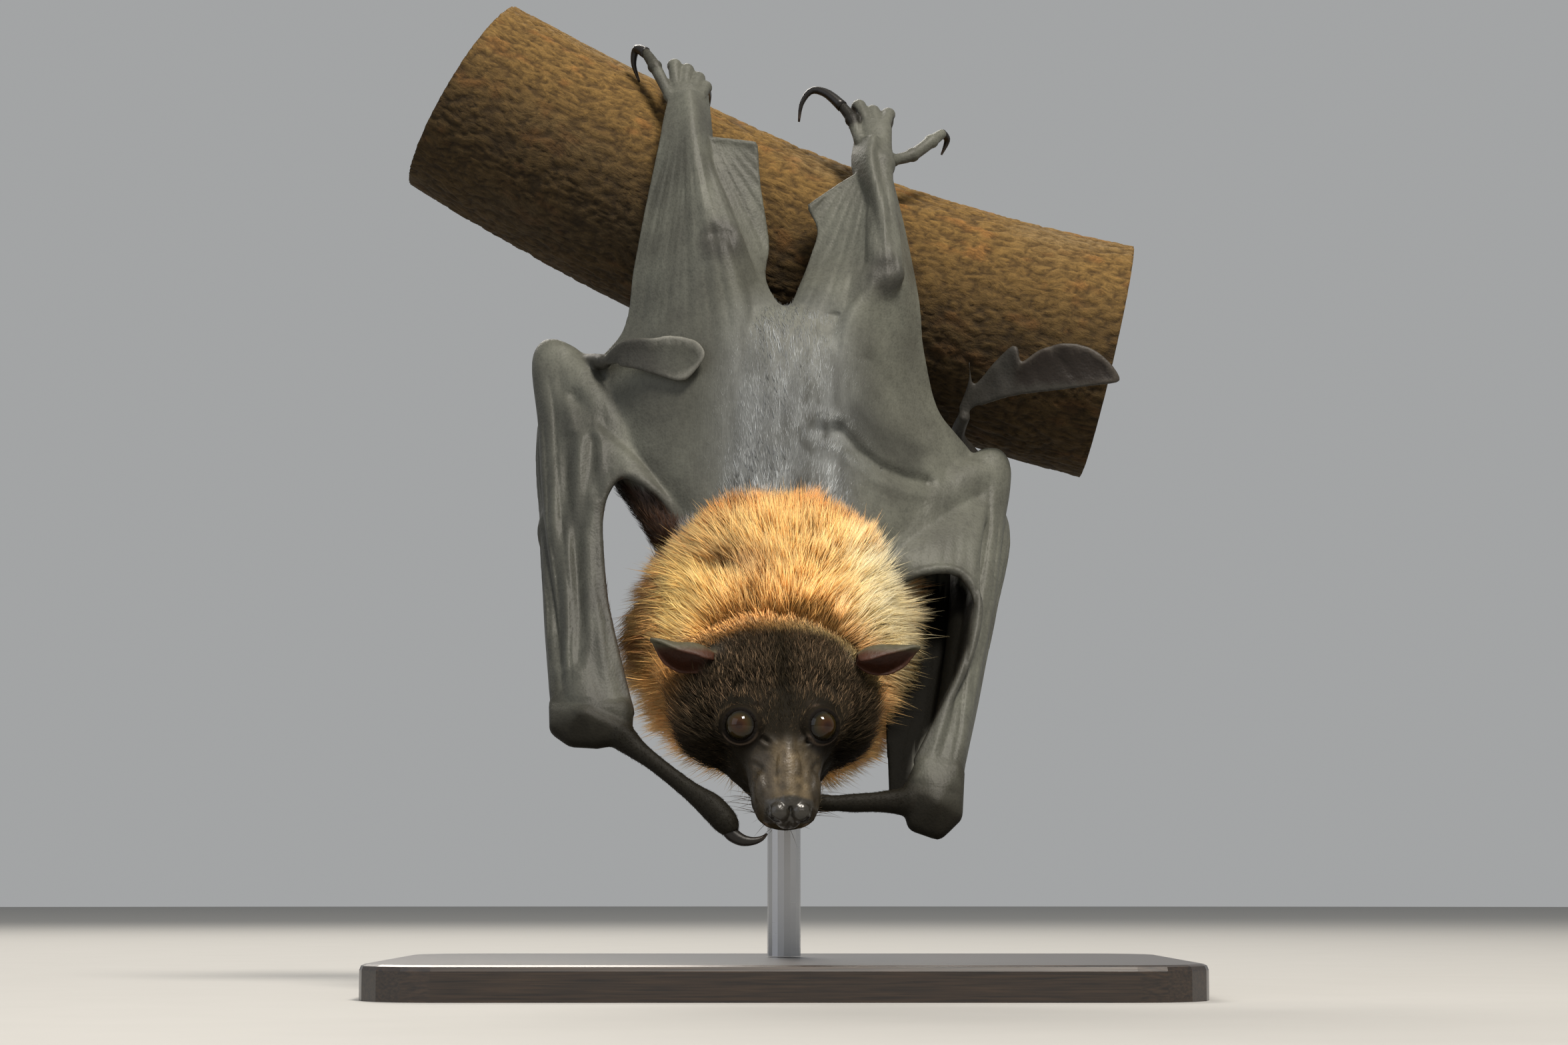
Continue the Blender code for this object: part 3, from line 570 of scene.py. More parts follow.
def side_web_rows(w):
    """Rows from the ankle down to the armpit: inner, middle and outer points."""
    if w["side"] < 0:
        return [
            [(-33, -13, 320), (-37, -13, 320), (-40, -12, 319)],
            [(-32, -18, 311), (-37, -18, 310), (-42, -16, 309)],
            [(-31, -23, 301), (-37, -22, 300), (-43.5, -19, 299)],
            [(-28, -32, 280), (-38, -26, 279), (-48, -19, 277)],
            [(-21, -42, 258), (-37, -35, 256), (-52, -22, 254)],
            [(-16, -48, 236), (-37, -41, 235), (-55.5, -23, 232)],
            [(-17, -54, 216), (-44, -43, 217), (-69, -16, 217)],
            [(-20, -57, 196), (-46, -44, 198), (-68, -20, 204)],
            [(-23, -58, 176), (-42, -49, 180), (-57, -32, 190)],
            [(-25, -56, 160), (-36, -50, 163), (-42, -43, 170)],
            [(-26, -50, 150), (-35, -45, 152), (-41, -39, 158)],
        ]
    return [
        [(31, -15, 303), (34, -14, 302.5), (36.5, -13, 302)],
        [(30, -22, 292), (33, -21, 291), (37, -19, 290)],
        [(34, -32, 271), (38, -27, 270), (42, -20, 268)],
        [(33, -40, 250), (41, -34, 248), (46, -22, 246)],
        [(22, -46, 230), (37, -36, 228), (48.5, -21, 225)],
        [(19, -52, 212), (37, -36, 209), (54, -17, 204)],
        [(20, -56, 194), (43, -34, 192), (66, -11, 189)],
        [(23, -58, 174), (42, -41, 176), (61, -21, 178)],
        [(25, -56, 157), (36, -49, 160), (48, -38, 164)],
        [(26, -50, 147), (37, -44, 149), (47, -35, 153)],
    ]


def side_web_forms(bm, w):
    """The wing skin beside the trunk and leg, with a swelling where it leaves the body."""
    rows = side_web_rows(w)
    cover = (-3.0, -3.5, -4.5, -5.0, -3.5, -1.5, -0.5)  # over the front of the shin and thigh
    if w["side"] < 0:
        cover = (-2.0, *cover)
    cover = (*cover, *[0] * (len(rows) - len(cover)))
    covering = []
    for (inner, middle, outer), dy in zip(rows, cover, strict=True):
        hidden = shifted(inner, -5.5 * w["side"], 8, 0)
        covering.append([hidden, shifted(inner, 0, dy), shifted(middle, 0, 0.6 * dy), outer])
    sheet(bm, covering, 1.5, 48, 90)
    tube(bm, [(*row[2], 1.1, 1.1) for row in rows], 10, 60)


def palm_web_form(bm):
    """The left wing's hand skin, which hangs behind the arch of the rim."""
    rows = [
        [(66, -16, 150), (54, -18, 150), (42, -24, 148)],
        [(64, -34, 122), (50, -34, 122), (37, -38, 120)],
        [(60, -50, 96), (47, -50, 95), (34.5, -52, 94)],
        [(52, -66, 70), (44, -67, 68), (35, -68, 66)],
    ]
    sheet(bm, rows, 1.4, 24, 50)


def wing_tip_rows(w):
    """The upper and lower edges of the wing's last joint, from its root to its tip."""
    if w["side"] < 0:
        upper = [(-62, -33, 220.5), (-55.7, -41, 225), (-45.3, -48, 225), (-37.4, -51.5, 225)]
        upper += [(-30.5, -55, 223), (-27.3, -56.5, 219)]
        lower = [(-62, -33, 218), (-57, -39, 217.5), (-50, -45, 215.3), (-41.5, -50, 212)]
        lower += [(-34.2, -54, 210.1), (-28.8, -56.5, 215)]
    else:
        upper = [(62, -14, 206), (69, -19, 214.5), (80.6, -26, 225.8), (82.5, -26.5, 219.2)]
        upper += [(89.4, -28, 223.6), (98, -29, 225.9), (106, -29, 224.8)]
        upper += [(112.7, -29, 220), (116.7, -29, 214.4)]
        lower = [(62, -14, 202), (69, -18, 206.2), (76, -22, 208.4), (82, -24, 209.4)]
        lower += [(89, -26, 210), (97, -27, 210.8), (104, -28, 211.5)]
        lower += [(110, -28.5, 212.4), (116, -29, 213.2)]
    return upper, lower


def wing_tip_forms(bm, w):
    """The last joint of the wing, a small leaf of skin that stands out past the elbow."""
    if w["side"] < 0:
        stalk = [(-75, 6, 220, 3, 3), (-72, -8, 223, 3, 3), (-62, -32, 219.5, 2.4, 2.4)]
    else:
        stalk = [(69, 12, 190, 3, 3), (62, -2, 197, 3, 3), (64, -16, 203, 2.4, 2.4)]
        round_tube(bm, [(63, -14, 205), (65.5, -18, 214), (65.2, -20, 222)], (1.8, 1.2, 0.5), 10, 12)
    upper, lower = wing_tip_rows(w)
    rows = [[p, shifted(between(p, q, 0.5), 0, 0.8), q] for p, q in zip(upper, lower, strict=True)]
    sheet(bm, rows, 1.2, 20, 60)
    outline = [*upper, *lower[:0:-1]]
    tube(bm, [(*p, 0.95, 0.95) for p in outline], 10, 90)
    tube(bm, stalk, 12, 16)


def leg_forms(bm, own):
    hip, knee, ankle = (LEGS[own][joint] for joint in ("hip", "knee", "ankle"))
    thigh = [(*hip, 12, 11), (*between(hip, knee, 0.5), 10, 8.8), (*knee, 7.2, 6.8)]
    tube(bm, thigh, 24, 20)
    shin = [
        (*knee, 7, 6.5),
        (*between(knee, ankle, 0.4), 6, 5),
        (*between(knee, ankle, 0.8), 4.6, 4),
        (*ankle, 5, 4.5),
    ]
    tube(bm, shin, 20, 24)
    ball(bm, knee, (7.0, 6.6, 7.2))
    ball(bm, ankle, (5.6, 4.8, 5.6))


def foot_forms(bm, own):
    """The sole and five toes that bend at the knuckle over the branch."""
    ankle = LEGS[own]["ankle"]
    toes = TOES[own]
    root = between(toes[2][0][0], ankle, 0.1)
    sole = [
        (*ankle, 5.4, 4.2),
        (*between(ankle, root, 0.5), 5.0, 3.4),
        (*root, 5.6, 2.8),
        (*shifted(root, 0, 1.5, 3), 4.4, 2.2),
    ]
    tube(bm, sole, 20, 16)
    for route, _ in toes:
        heel = shifted(between(route[0], ankle, 0.62), 0, -1.2, 0)
        radii = [1.9, 2.0, *[2.2] * (len(route) - 2), 1.7]
        round_tube(bm, [heel, *route], radii, 12, 24)
        ball(bm, route[0], (2.3, 2.3, 2.5))
        for joint in route[1:-1]:
            ball(bm, joint, (2.7, 2.6, 2.6))


def tail_web_rows(own):
    """Skin along the inside of the leg, from the ankle spur down to the crotch."""
    if own == "right":
        return [
            [(-33, -18, 302), (-21, -19, 300.5), (-10, -20, 299)],
            [(-30, -26, 287), (-20, -23, 285), (-9, -22, 284)],
            [(-23, -38, 266), (-14, -29, 264), (-6, -25, 263)],
            [(-18, -42, 249), (-11, -37, 248.5), (-6.5, -33, 248)],
            [(-17, -45, 237), (-8, -43, 236), (0.5, -40, 235.5)],
        ]
    return [
        [(31, -18, 291), (20, -20, 284), (9, -22, 276)],
        [(33, -27, 277), (22, -25, 272), (12.5, -24, 267)],
        [(33, -37, 259), (20, -30, 257), (9, -27, 255)],
        [(29, -42, 244), (12, -38, 244.5), (4.6, -34, 244)],
        [(25, -43, 234), (11, -43, 235), (1, -40, 235)],
    ]


def tail_web_forms(bm, own):
    rows = tail_web_rows(own)
    cover = (0.0, -0.5, -1.0, -2.0, -1.0)
    covering = [
        [shifted(leg_side, 0, dy), shifted(middle, 0, 0.8 * dy), free_edge]
        for (leg_side, middle, free_edge), dy in zip(rows, cover, strict=True)
    ]
    sheet(bm, covering, 1.3, 30, 60)
    tube(bm, [(*p, 1.3, 1.3) for p in rows[0]], 10, 16)
    tube(bm, [(*row[2], 0.85, 0.85) for row in rows], 8, 30)


REGIONS = ("trunk", "neck", "head", "ear", "arm", "wrist", "thumb", "web", "leg", "foot", "tip")


def flesh_forms():
    """All forms in one mesh, and the name of the region that each of its vertices is from."""
    bm = bmesh.new()
    regions = []

    def done(region):
        regions.extend([REGIONS.index(region)] * (len(bm.verts) - len(regions)))

    trunk_form(bm)
    done("trunk")
    neck_form(bm)
    done("neck")
    head_forms(bm)
    done("head")
    for s in (-1, 1):
        ear_form(bm, s)
    done("ear")
    for w in WINGS.values():
        upper_arm_form(bm, w)
        forearm_form(bm, w)
        done("arm")
        wrist_form(bm, w)
        done("wrist")
        tube(bm, thumb_route(w), 16, 24)
        done("thumb")
        finger_forms(bm, w)
        arm_web_forms(bm, w)
        side_web_forms(bm, w)
        done("web")
        wing_tip_forms(bm, w)
        done("tip")
    palm_web_form(bm)
    done("web")
    for own in LEGS:
        leg_forms(bm, own)
        tail_web_forms(bm, own)
        done("leg")
        foot_forms(bm, own)
        done("foot")
    return mesh_of(bm, "forms"), np.array(regions)


# ------------------------------------------------------------------ numbers over many points
def ramp(values, low, high):
    """0 below low and 1 above high, with a smooth rise between. It falls where high is below low."""
    t = np.clip((values - low) / (high - low), 0.0, 1.0)
    return t * t * (3 - 2 * t)


def noise(points, size, seed=0):
    """Smooth random values from -1 to 1 that change over about that many millimetres."""
    q = points / np.array(size, float)
    cell = np.floor(q).astype(np.int64)
    f = q - cell
    f = f * f * (3 - 2 * f)
    total = np.zeros(len(points))
    for corner in range(8):
        step = np.array([corner & 1, (corner >> 1) & 1, corner >> 2])
        key = cell + step
        h = key[:, 0] * 374761393 + key[:, 1] * 668265263 + key[:, 2] * 974634777 + seed * 144665
        h = (h ^ (h >> 13)) * 1274126177 & 0xFFFFFFFF
        value = ((h ^ (h >> 16)) & 0xFFFF) / 32767.5 - 1
        share = np.where(step, f, 1 - f)
        total += value * share[:, 0] * share[:, 1] * share[:, 2]
    return total


def unit(vectors):
    return vectors / np.maximum(np.linalg.norm(vectors, axis=1), 1e-9)[:, None]


def distance(points, place):
    """Distance from each point to one place, or to the place in its own row."""
    return np.linalg.norm(points - np.array(place, float), axis=1)


def ridges(values):
    """Round-topped folds with narrow valleys between, one for each whole number."""
    return np.abs(np.sin(math.pi * values)) ** 0.7 - 0.55


def route_distance(points, route):
    """Distance from each point to a line through the route's points."""
    best = np.full(len(points), 1e9)
    for a, b in zip(route, route[1:], strict=False):
        a = np.array(a, float)
        along = np.array(b, float) - a
        share = np.clip((points - a) @ along / (along @ along), 0, 1)
        gap = points - a - share[:, None] * along
        best = np.minimum(best, np.sqrt((gap * gap).sum(1)))
    return best


def head_places(points):
    """Side, up and back from the nose tip, for many points."""
    inverse = np.array(HEAD.inverted())
    return points @ inverse[:3, :3].T + inverse[:3, 3]


def read_points(mesh):
    points = np.empty(len(mesh.vertices) * 3)
    mesh.vertices.foreach_get("co", points)
    return points.reshape(-1, 3)


def read_normals(mesh):
    normals = np.empty(len(mesh.vertices) * 3, np.float32)
    mesh.vertex_normals.foreach_get("vector", normals)
    return normals.reshape(-1, 3).astype(float)


# ------------------------------------------------------------------ modelling the skin
def fold_wings(points):
    """Long folds of the closed wing: finger bones and the skin drawn together between them."""
    move = np.zeros_like(points)
    for w in WINGS.values():
        wrist, elbow = np.array(w["wrist"], float), np.array(w["elbow"], float)
        long_way = elbow - wrist
        length = np.linalg.norm(long_way)
        long_way /= length
        outward = np.array([w["side"], 0.0, 0.0])
        outward -= long_way * (outward @ long_way)
        outward /= np.linalg.norm(outward)
        facing = np.cross(long_way, outward) * w["side"]
        facing *= -np.sign(facing[1])
        rel = points - wrist
        along = rel @ long_way
        across = rel @ outward
        deep = rel @ facing
        drift = 1.6 * noise(points, (9, 9, 40), 3)
        near = ramp(along, 6, 24) * ramp(along, length + 6, length - 26)
        near *= ramp(np.abs(deep), 34, 24) * ramp(np.abs(across - 4), 30, 22)
        outer = near * ramp(across, -1, 5)
        inner = near * ramp(across, 3, -3) * ramp(across, -26, -12)
        height = outer * ridges((across + drift) / 3.8)
        height += inner * 0.28 * ridges((across + drift) / 4.6)
        move += facing * height[:, None]
    return move


def fold_legs(points):
    """Fine folds that fan out from each ankle down the leg's skin."""
    move = np.zeros_like(points)
    for own, leg in LEGS.items():
        ankle = np.array(leg["ankle"], float)
        below = ankle[2] + 14 - points[:, 2]
        side = np.where(points[:, 0] < 0, "right", "left") == own
        fan = np.degrees(np.arctan2(points[:, 0] - ankle[0], np.maximum(below, 1)))
        reach = ramp(below, 12, 34) * ramp(below, 112, 80) * side * ramp(points[:, 1], -4, -12)
        drift = 1.5 * noise(points, (14, 14, 30), 5)
        height = reach * (0.42 * ridges((fan + drift) / 5.2) + 0.2 * ridges((fan - drift) / 2.6))
        move[:, 1] -= height
    return move


def swell_body(points, normals):
    """Soft unevenness of muscle and loose skin under the short fur of the back."""
    body = ramp(points[:, 2], 150, 168) * ramp(points[:, 2], 262, 236)
    wide = 0.7 * noise(points, (15, 15, 22), 7) + 0.3 * noise(points, (7, 7, 12), 8)
    return normals * (body * wide * 0.55)[:, None]


BODY_FOLDS = (
    # Route over x and z on the viewer's side, depth, width and the swelling beside it.
    (((19, 192), (24.5, 185.5), (33, 180), (42, 177.5), (49, 177)), 3.0, 2.4, 1.0),
    (((27, 201), (37, 192), (47, 186)), 2.2, 5.5, 0.0),
    (((30, 218), (39, 207), (49, 196)), 1.0, 2.4, 0.3),
    (((12.5, 191.5), (15, 190)), 1.7, 2.4, 0.7),
    (((-60, 216), (-55, 204), (-45, 189), (-36, 168)), 0.6, 5.0, 0.0),
    (((-73, 208), (-67.5, 192), (-64.5, 172)), 0.7, 1.8, 0.4),
    (((-79, 99), (-64, 97), (-49, 90.5)), 0.7, 1.5, 0.2),
    (((43, 71), (52, 69), (61, 67)), 0.5, 1.4, 0.1),
    (((-24, 262), (-19, 262.5)), 1.6, 3.0, 0.3),
    (((32, 251), (37, 251)), 1.6, 3.0, 0.3),
    (((1, 246), (1, 226), (2, 205)), 0.8, 5.0, 0.0),
    (((-42, 152), (-30, 147), (-17, 141)), 1.8, 4.0, 0.8),
    (((24, 147), (38, 142)), 1.2, 3.6, 0.4),
    (((-66, 190), (-70, 155), (-69, 112)), 0.9, 1.7, 0.5),
    (((-74, 192), (-77, 150), (-75, 112)), 0.8, 1.6, 0.4),
)


def fold_body(points):
    """Hollows and creases on the side towards the viewer: armpit, elbows, wrists and knees."""
    reach = np.interp(np.abs(points[:, 0]), (24, 40), (-38, 4))
    front = ramp(points[:, 1], reach, reach - 8)
    flat = points[:, [0, 2]]
    height = np.zeros(len(points))
    for route, depth, width, lip in BODY_FOLDS:
        gap = route_distance(flat, route)
        height -= depth * np.exp(-((gap / width) ** 2))
        height += lip * np.exp(-(((gap - 2.2 * width) / width) ** 2))
    move = np.zeros_like(points)
    move[:, 1] = -height * front
    return move


def model_head(points, normals):
    """Nostrils, nose grooves, lips, the lines of the muzzle and the hollows round the eyes."""
    place = head_places(points)
    side, up, back = place.T

    def press(route, depth, width, lip=0.0):
        """A groove along the route, with a swelling on either side of it."""
        gap = route_distance(place, route)
        shape = -depth * np.exp(-((gap / width) ** 2))
        shape += lip * np.exp(-(((gap - 2.0 * width) / width) ** 2))
        return shape

    height = press([(0, 6.2, -0.9), (0, 3.0, -2.6), (0, -3.2, -3.0)], 0.9, 0.75)
    for s in (-1, 1):
        height += press([(s * 4.5, 1.8, -2.6), (s * 5.2, 2.4, -2.0)], 2.0, 1.0)
        height += press([(s * 5.6, 3.0, -1.4), (s * 6.9, 3.8, 0.6), (s * 7.0, 5.2, 2.4)], 0.95, 0.6)
        mouth = [(0, -7.2, -2.4), (s * 4.2, -6.6, -1.4), (s * 7.6, -3.6, 1.6)]
        mouth += [(s * 9.2, -4.4, 7), (s * 11.2, -6.6, 14), (s * 14.5, -8.6, 23)]
        height += press(mouth, 0.7, 0.5, 0.32)
        crease = [(s * 8.6, 9.2, 26), (s * 5.4, 11.6, 21.5), (s * 4.4, 10.9, 16), (s * 5.6, 9.6, 10.5)]
        height += press(crease, 0.85, 0.75, 0.4)
        flank = [(s * 10.5, 3.0, 20), (s * 8.6, 7.4, 14), (s * 8.0, 7.2, 8)]
        height += press(flank, 0.5, 1.0, 0.15)
        height += press([(s * 8.2, 9.6, 27.6), (s * 9.4, 9.0, 29.2)], 0.9, 0.8)
    furrow = ramp(back, 30, 38) * ramp(back, 58, 48) * ramp(up, 2, 8)
    height -= furrow * 0.9 * np.exp(-((side / 2.2) ** 2))
    muzzle = ramp(back, 30, 22) * ramp(np.abs(side), 20, 14) * ramp(back, 1, 6)
    height += muzzle * (0.22 * noise(points, 3.4, 11) + 0.12 * noise(points, 1.6, 12))
    return normals * height[:, None]


def open_eyes(points):
    """Carves the skin back from the part of each eyeball that the lids leave open."""
    carved = points.copy()
    for s in (-1, 1):
        centre, way = np.array(eye_centre(s)), np.array(gaze(s))
        rel = carved - centre
        gap = np.sqrt((rel * rel).sum(1))
        ahead = rel @ way / np.maximum(gap, 1e-6)
        inside = (gap < EYE_RADIUS + 2.6) & (ahead > math.cos(EYE_OPENING)) & (gap > 0.5)
        depth = (EYE_RADIUS - 0.9) / gap[inside]
        carved[inside] = centre + rel[inside] * depth[:, None]
    return carved


def apply_modifiers(obj):
    """Gives the object the mesh that its modifiers make of it, and returns that mesh."""
    bpy.context.view_layer.update()
    graph = bpy.context.evaluated_depsgraph_get()
    mesh = bpy.data.meshes.new_from_object(obj.evaluated_get(graph))
    obj.modifiers.clear()
    obj.data = mesh
    return mesh


def set_group(obj, name, weights):
    """A vertex group with a weight for every vertex, in steps of a tenth."""
    group = obj.vertex_groups.new(name=name)
    steps = np.round(weights * 10).astype(int)
    for step in range(1, 11):
        group.add(np.flatnonzero(steps == step).tolist(), step / 10, "REPLACE")
    return name


def melting(points):
    """How much each place is smoothed: the back, flanks and hips most, and the face not at all."""
    x, y, z = points.T
    side, _, back = head_places(points).T
    flanks = ramp(z, 232, 214) * ramp(np.abs(x), 62, 52) * ramp(z, 150, 165)
    spine = ramp(z, 150, 172) * ramp(z, 236, 228) * (y < 4)
    hips = ramp(np.abs(x - 2), 34, 26) * ramp(z, 222, 232) * ramp(z, 262, 248)
    fine_head = ramp(back, 48, 40) * (np.abs(side) < 24)
    rest = 0.35 * (1 - fine_head) * (back < 76)
    return np.maximum.reduce([flanks, spine, hips * 0.8, rest])


def add_smoothing(obj, name, rounds, group=""):
    smooth = obj.modifiers.new(name, "SMOOTH")
    smooth.factor = 0.5
    smooth.iterations = rounds
    smooth.vertex_group = group


def skin_mesh():
    """The bat's one skin, and the points and regions of the forms that it is made from."""
    forms, regions = flesh_forms()
    form_points = read_points(forms)
    obj = bpy.data.objects.new("working", forms)
    bpy.context.scene.collection.objects.link(obj)
    remesh = obj.modifiers.new("remesh", "REMESH")
    remesh.mode = "VOXEL"
    remesh.voxel_size = VOXEL
    mesh = apply_modifiers(obj)

    add_smoothing(obj, "smooth", SMOOTH_ROUNDS)
    add_smoothing(obj, "melt", MELT_ROUNDS, set_group(obj, "soft", melting(read_points(mesh))))
    mesh = apply_modifiers(obj)

    points, normals = read_points(mesh), read_normals(mesh)
    points += fold_wings(points) + fold_legs(points) + swell_body(points, normals)
    points += fold_body(points)
    points += model_head(points, normals)
    points = open_eyes(points)
    mesh.vertices.foreach_set("co", points.ravel())
    mesh.update()

    # Fewer triangles, but not on the face.
    side, _, back = head_places(points).T
    face = ramp(back, 50, 40) * (np.abs(side) < 26)
    thin = obj.modifiers.new("thin", "DECIMATE")
    thin.ratio = SKIN_TRIANGLES / (2 * len(mesh.polygons))
    thin.use_collapse_triangulate = True
    thin.vertex_group = set_group(obj, "face", 1 - 0.75 * face)
    thin.vertex_group_factor = 4.0
    mesh = apply_modifiers(obj)
    bpy.data.objects.remove(obj)
    return mesh, (form_points, regions)


# ------------------------------------------------------------------ markings and the lie of the coat
def linear(values):
    """sRGB numbers from 0 to 255 as linear colour."""
    v = np.asarray(values, float) / 255
    return np.where(v <= 0.04045, v / 12.92, ((v + 0.055) / 1.055) ** 2.4)


def hex_colour(text):
    return tuple(int(text[k : k + 2], 16) for k in (1, 3, 5))


def mix(first, second, share):
    """Blends two colours, or arrays of them, by a share for each point."""
    share = np.asarray(share, float)[..., None]
    return np.asarray(first, float) * (1 - share) + np.asarray(second, float) * share


# Colours of the coat, the bare skin, the claws and the branch, as they are under even light; some stand in
# for painted light and shade, as marked below.
SLATE = hex_colour("#52534B")
SLATE_DARK = hex_colour("#2A2925")
SLATE_RIM = hex_colour("#77766F")
# Painted shade: the near black of the wing pits and of the wings' faces turned away from the viewer.
HOLLOW_SHADE = hex_colour("#0B0A07")
KNOB_SKIN = hex_colour("#13110B")
BACK_FUR = hex_colour("#828688")
BACK_FUR_TIP = hex_colour("#9A9EA0")
# Painted sheen on the tips of the back's fur.
BACK_SHEEN = hex_colour("#B4B9BD")
GOLD = hex_colour("#DDA557")
GOLD_TIP = hex_colour("#FADD9A")
ORANGE = hex_colour("#A0581F")
ORANGE_TIP = hex_colour("#DD9A52")
STRAW = hex_colour("#F9CE76")
STRAW_TIP = hex_colour("#FFE69C")
# Painted light: the shoulders' straw, paler on the lit left side.
LIT_STRAW = hex_colour("#FFF0B8")
LIT_STRAW_TIP = hex_colour("#FFFAE0")
NAPE = hex_colour("#CC9456")
NAPE_TIP = hex_colour("#F6CB92")
CHESTNUT = hex_colour("#4A2614")
HEAD_FUR = hex_colour("#19150E")
HEAD_FUR_TIP = hex_colour("#534536")
MUZZLE_SKIN = hex_colour("#564A36")
NOSE_SKIN = hex_colour("#24211B")
# Painted shade for the insides of the nostrils.
NOSTRIL_SHADE = hex_colour("#070504")
LIP_EDGE = hex_colour("#7A685A")
EYE_HOLLOW = hex_colour("#120E0A")
LID_EDGE = hex_colour("#100D0B")
LOWER_LID = hex_colour("#5E5148")
BROW_SPOT = hex_colour("#5F4F44")
EAR_OUTSIDE = hex_colour("#413E30")
EAR_INSIDE = hex_colour("#351B0E")
BELLY_FUR = hex_colour("#2A1B13")
LEAF_SKIN = hex_colour("#16100B")
HORN = hex_colour("#14110E")
HORN_TIP = hex_colour("#3E332A")
BARK_CRACK = hex_colour("#44331A")
BARK_CREST = hex_colour("#6B532C")
BARK_RUST = hex_colour("#87552A")
BARK_GREY = hex_colour("#6B604F")
PALE_WOOD = hex_colour("#A8865A")
RING_WOOD = hex_colour("#8C6A43")
WOOD_FLECK = hex_colour("#7A5A38")

# The mantle's upper border over x and z.
MANTLE_TOP = [(-60, 146), (-44, 147), (-36, 149), (-30, 154), (-22, 162), (-11, 164.5)]
MANTLE_TOP += [(3, 165), (15, 162), (27, 158), (37, 152), (48, 144)]


def mantle_edge(x):
    """Height of the mantle's upper border over the back, at each x."""
    line = spline(MANTLE_TOP, 90)
    return np.interp(x, line[:, 0], line[:, 1])


def nearest_regions(points, forms):
    """1 in the region of the nearest form and 0 in the others, for every point."""
    form_points, form_regions = forms
    finder = KDTree(len(form_points))
    for k, point in enumerate(form_points):
        finder.insert(point, k)
    finder.balance()
    nearest = np.array([form_regions[finder.find(point)[1]] for point in points])
    return np.eye(len(REGIONS))[nearest]


def blurred(values, mesh, rounds):
    """Evens values out over neighbouring vertices."""
    edges = np.empty(len(mesh.edges) * 2, np.int32)
    mesh.edges.foreach_get("vertices", edges)
    a, b = edges.reshape(-1, 2).T
    count = len(mesh.vertices)
    links = np.bincount(a, minlength=count) + np.bincount(b, minlength=count) + 1.0
    values = values.astype(float)
    for _ in range(rounds):
        total = values.copy()
        for k in range(values.shape[1]):
            total[:, k] += np.bincount(a, values[b, k], count) + np.bincount(b, values[a, k], count)
        values = total / links[:, None]
    return values


def inside_arch(points, w):
    """1 for points that lie inside the wing's rounded rim, as seen from in front, and 0 outside it."""
    rim = np.array(w["rim"], float) * (w["side"], 1, 1)
    roof, wall = rim[:4], rim[:2:-1]
    out, z = points[:, 0] * w["side"], points[:, 2]
    under = np.interp(out, roof[:, 0], roof[:, 2]) - z
    within = np.interp(z, wall[:, 2], wall[:, 0]) - out
    return ramp(under, 0.3, 2.2) * ramp(within, 0.3, 2.2) * ramp(out, 24, 30)


class Coat:
    """The skin's vertices, and the markings, length, density and lie of the coat at each of them."""

    def __init__(self, mesh, forms):
        self.points, self.normals = read_points(mesh), read_normals(mesh)
        self.place = head_places(self.points)
        shares = blurred(nearest_regions(self.points, forms), mesh, 6)
        self.region = dict(zip(REGIONS, shares.T, strict=True))
        self.patchy = noise(self.points, 9, 21)
        self.fine = noise(self.points, 2.4, 22)
        self.eye_gaps = {s: distance(self.points, eye_centre(s) + gaze(s) * 2.6) for s in (-1, 1)}


def mark_out(coat):
    """Where each marking lies: the mantle, the dark face, the arches of the wings and the back."""
    x, y, z = coat.points.T
    side, up, back = coat.place.T
    region, patchy = coat.region, coat.patchy
    coat.edge = mantle_edge(x) + 1.2 * patchy
    # How far out on the face a place is: 1 at the border of its dark fur.
    coat.face = ((side / 32.5) ** 4 + ((back - 28) / 39.0) ** 4) ** 0.25 + 0.05 * patchy
    in_mantle = ramp(z, coat.edge + 2.5, coat.edge - 2.5) * ramp(np.abs(x), 54, 48)
    crown = np.clip(region["head"] + region["neck"] * ramp(up, -2, 3), 0, 1)
    dark_face = ramp(coat.face, 1.06, 0.94) * ramp(crown, 0.3, 0.6) * ramp(z, 140, 132)
    furred = np.clip(region["trunk"] + region["neck"] + region["head"], 0, 1)
    arm_fur = region["arm"] * ramp(np.abs(x), 46, 38) * ramp(z, 176, 166) * ramp(z, 118, 124)
    coat.mantle = in_mantle * np.clip(furred + arm_fur, 0, 1) * (1 - dark_face)
    coat.rim = ramp(coat.edge - z, 13, 1) * ramp(y, -34, -46)
    coat.crown_band = ramp(coat.face, 1.19, 1.03) * ramp(back, 34, 48)
    coat.under = ramp(y, -46, -28)
    coat.ruff = ramp(coat.face, 0.78, 0.94) * region["head"] * ramp(y, -40, -60)
    coat.hand = np.clip(region["thumb"] + region["wrist"], 0, 1)
    coat.limb = np.clip(sum(region[name] for name in ("web", "arm", "leg", "foot", "tip")), 0, 1)
    body = np.clip(coat.limb + region["trunk"], 0, 1)
    coat.arches = {own: inside_arch(coat.points, w) * body for own, w in WINGS.items()}
    # The strip of fur along the spine, which narrows towards the hips.
    reach = np.interp(z, (165, 200, 260), (60, 42, 30))
    coat.middle = ramp(np.abs(x - 2), reach, reach * 0.3) * ramp(z, 256, 206)
    coat.muzzle = ramp(back, 27, 19) * ramp(np.abs(side), 15, 10)
    coat.nose_pad = ramp(back, 5.2, 3.8) * ramp(np.abs(side), 8.4, 7.4) * ramp(up, -4.2, -3.2)
    coat.cheek = ramp(np.abs(side), 13, 23) * ramp(up, 9, -1) * ramp(back, 13, 24)


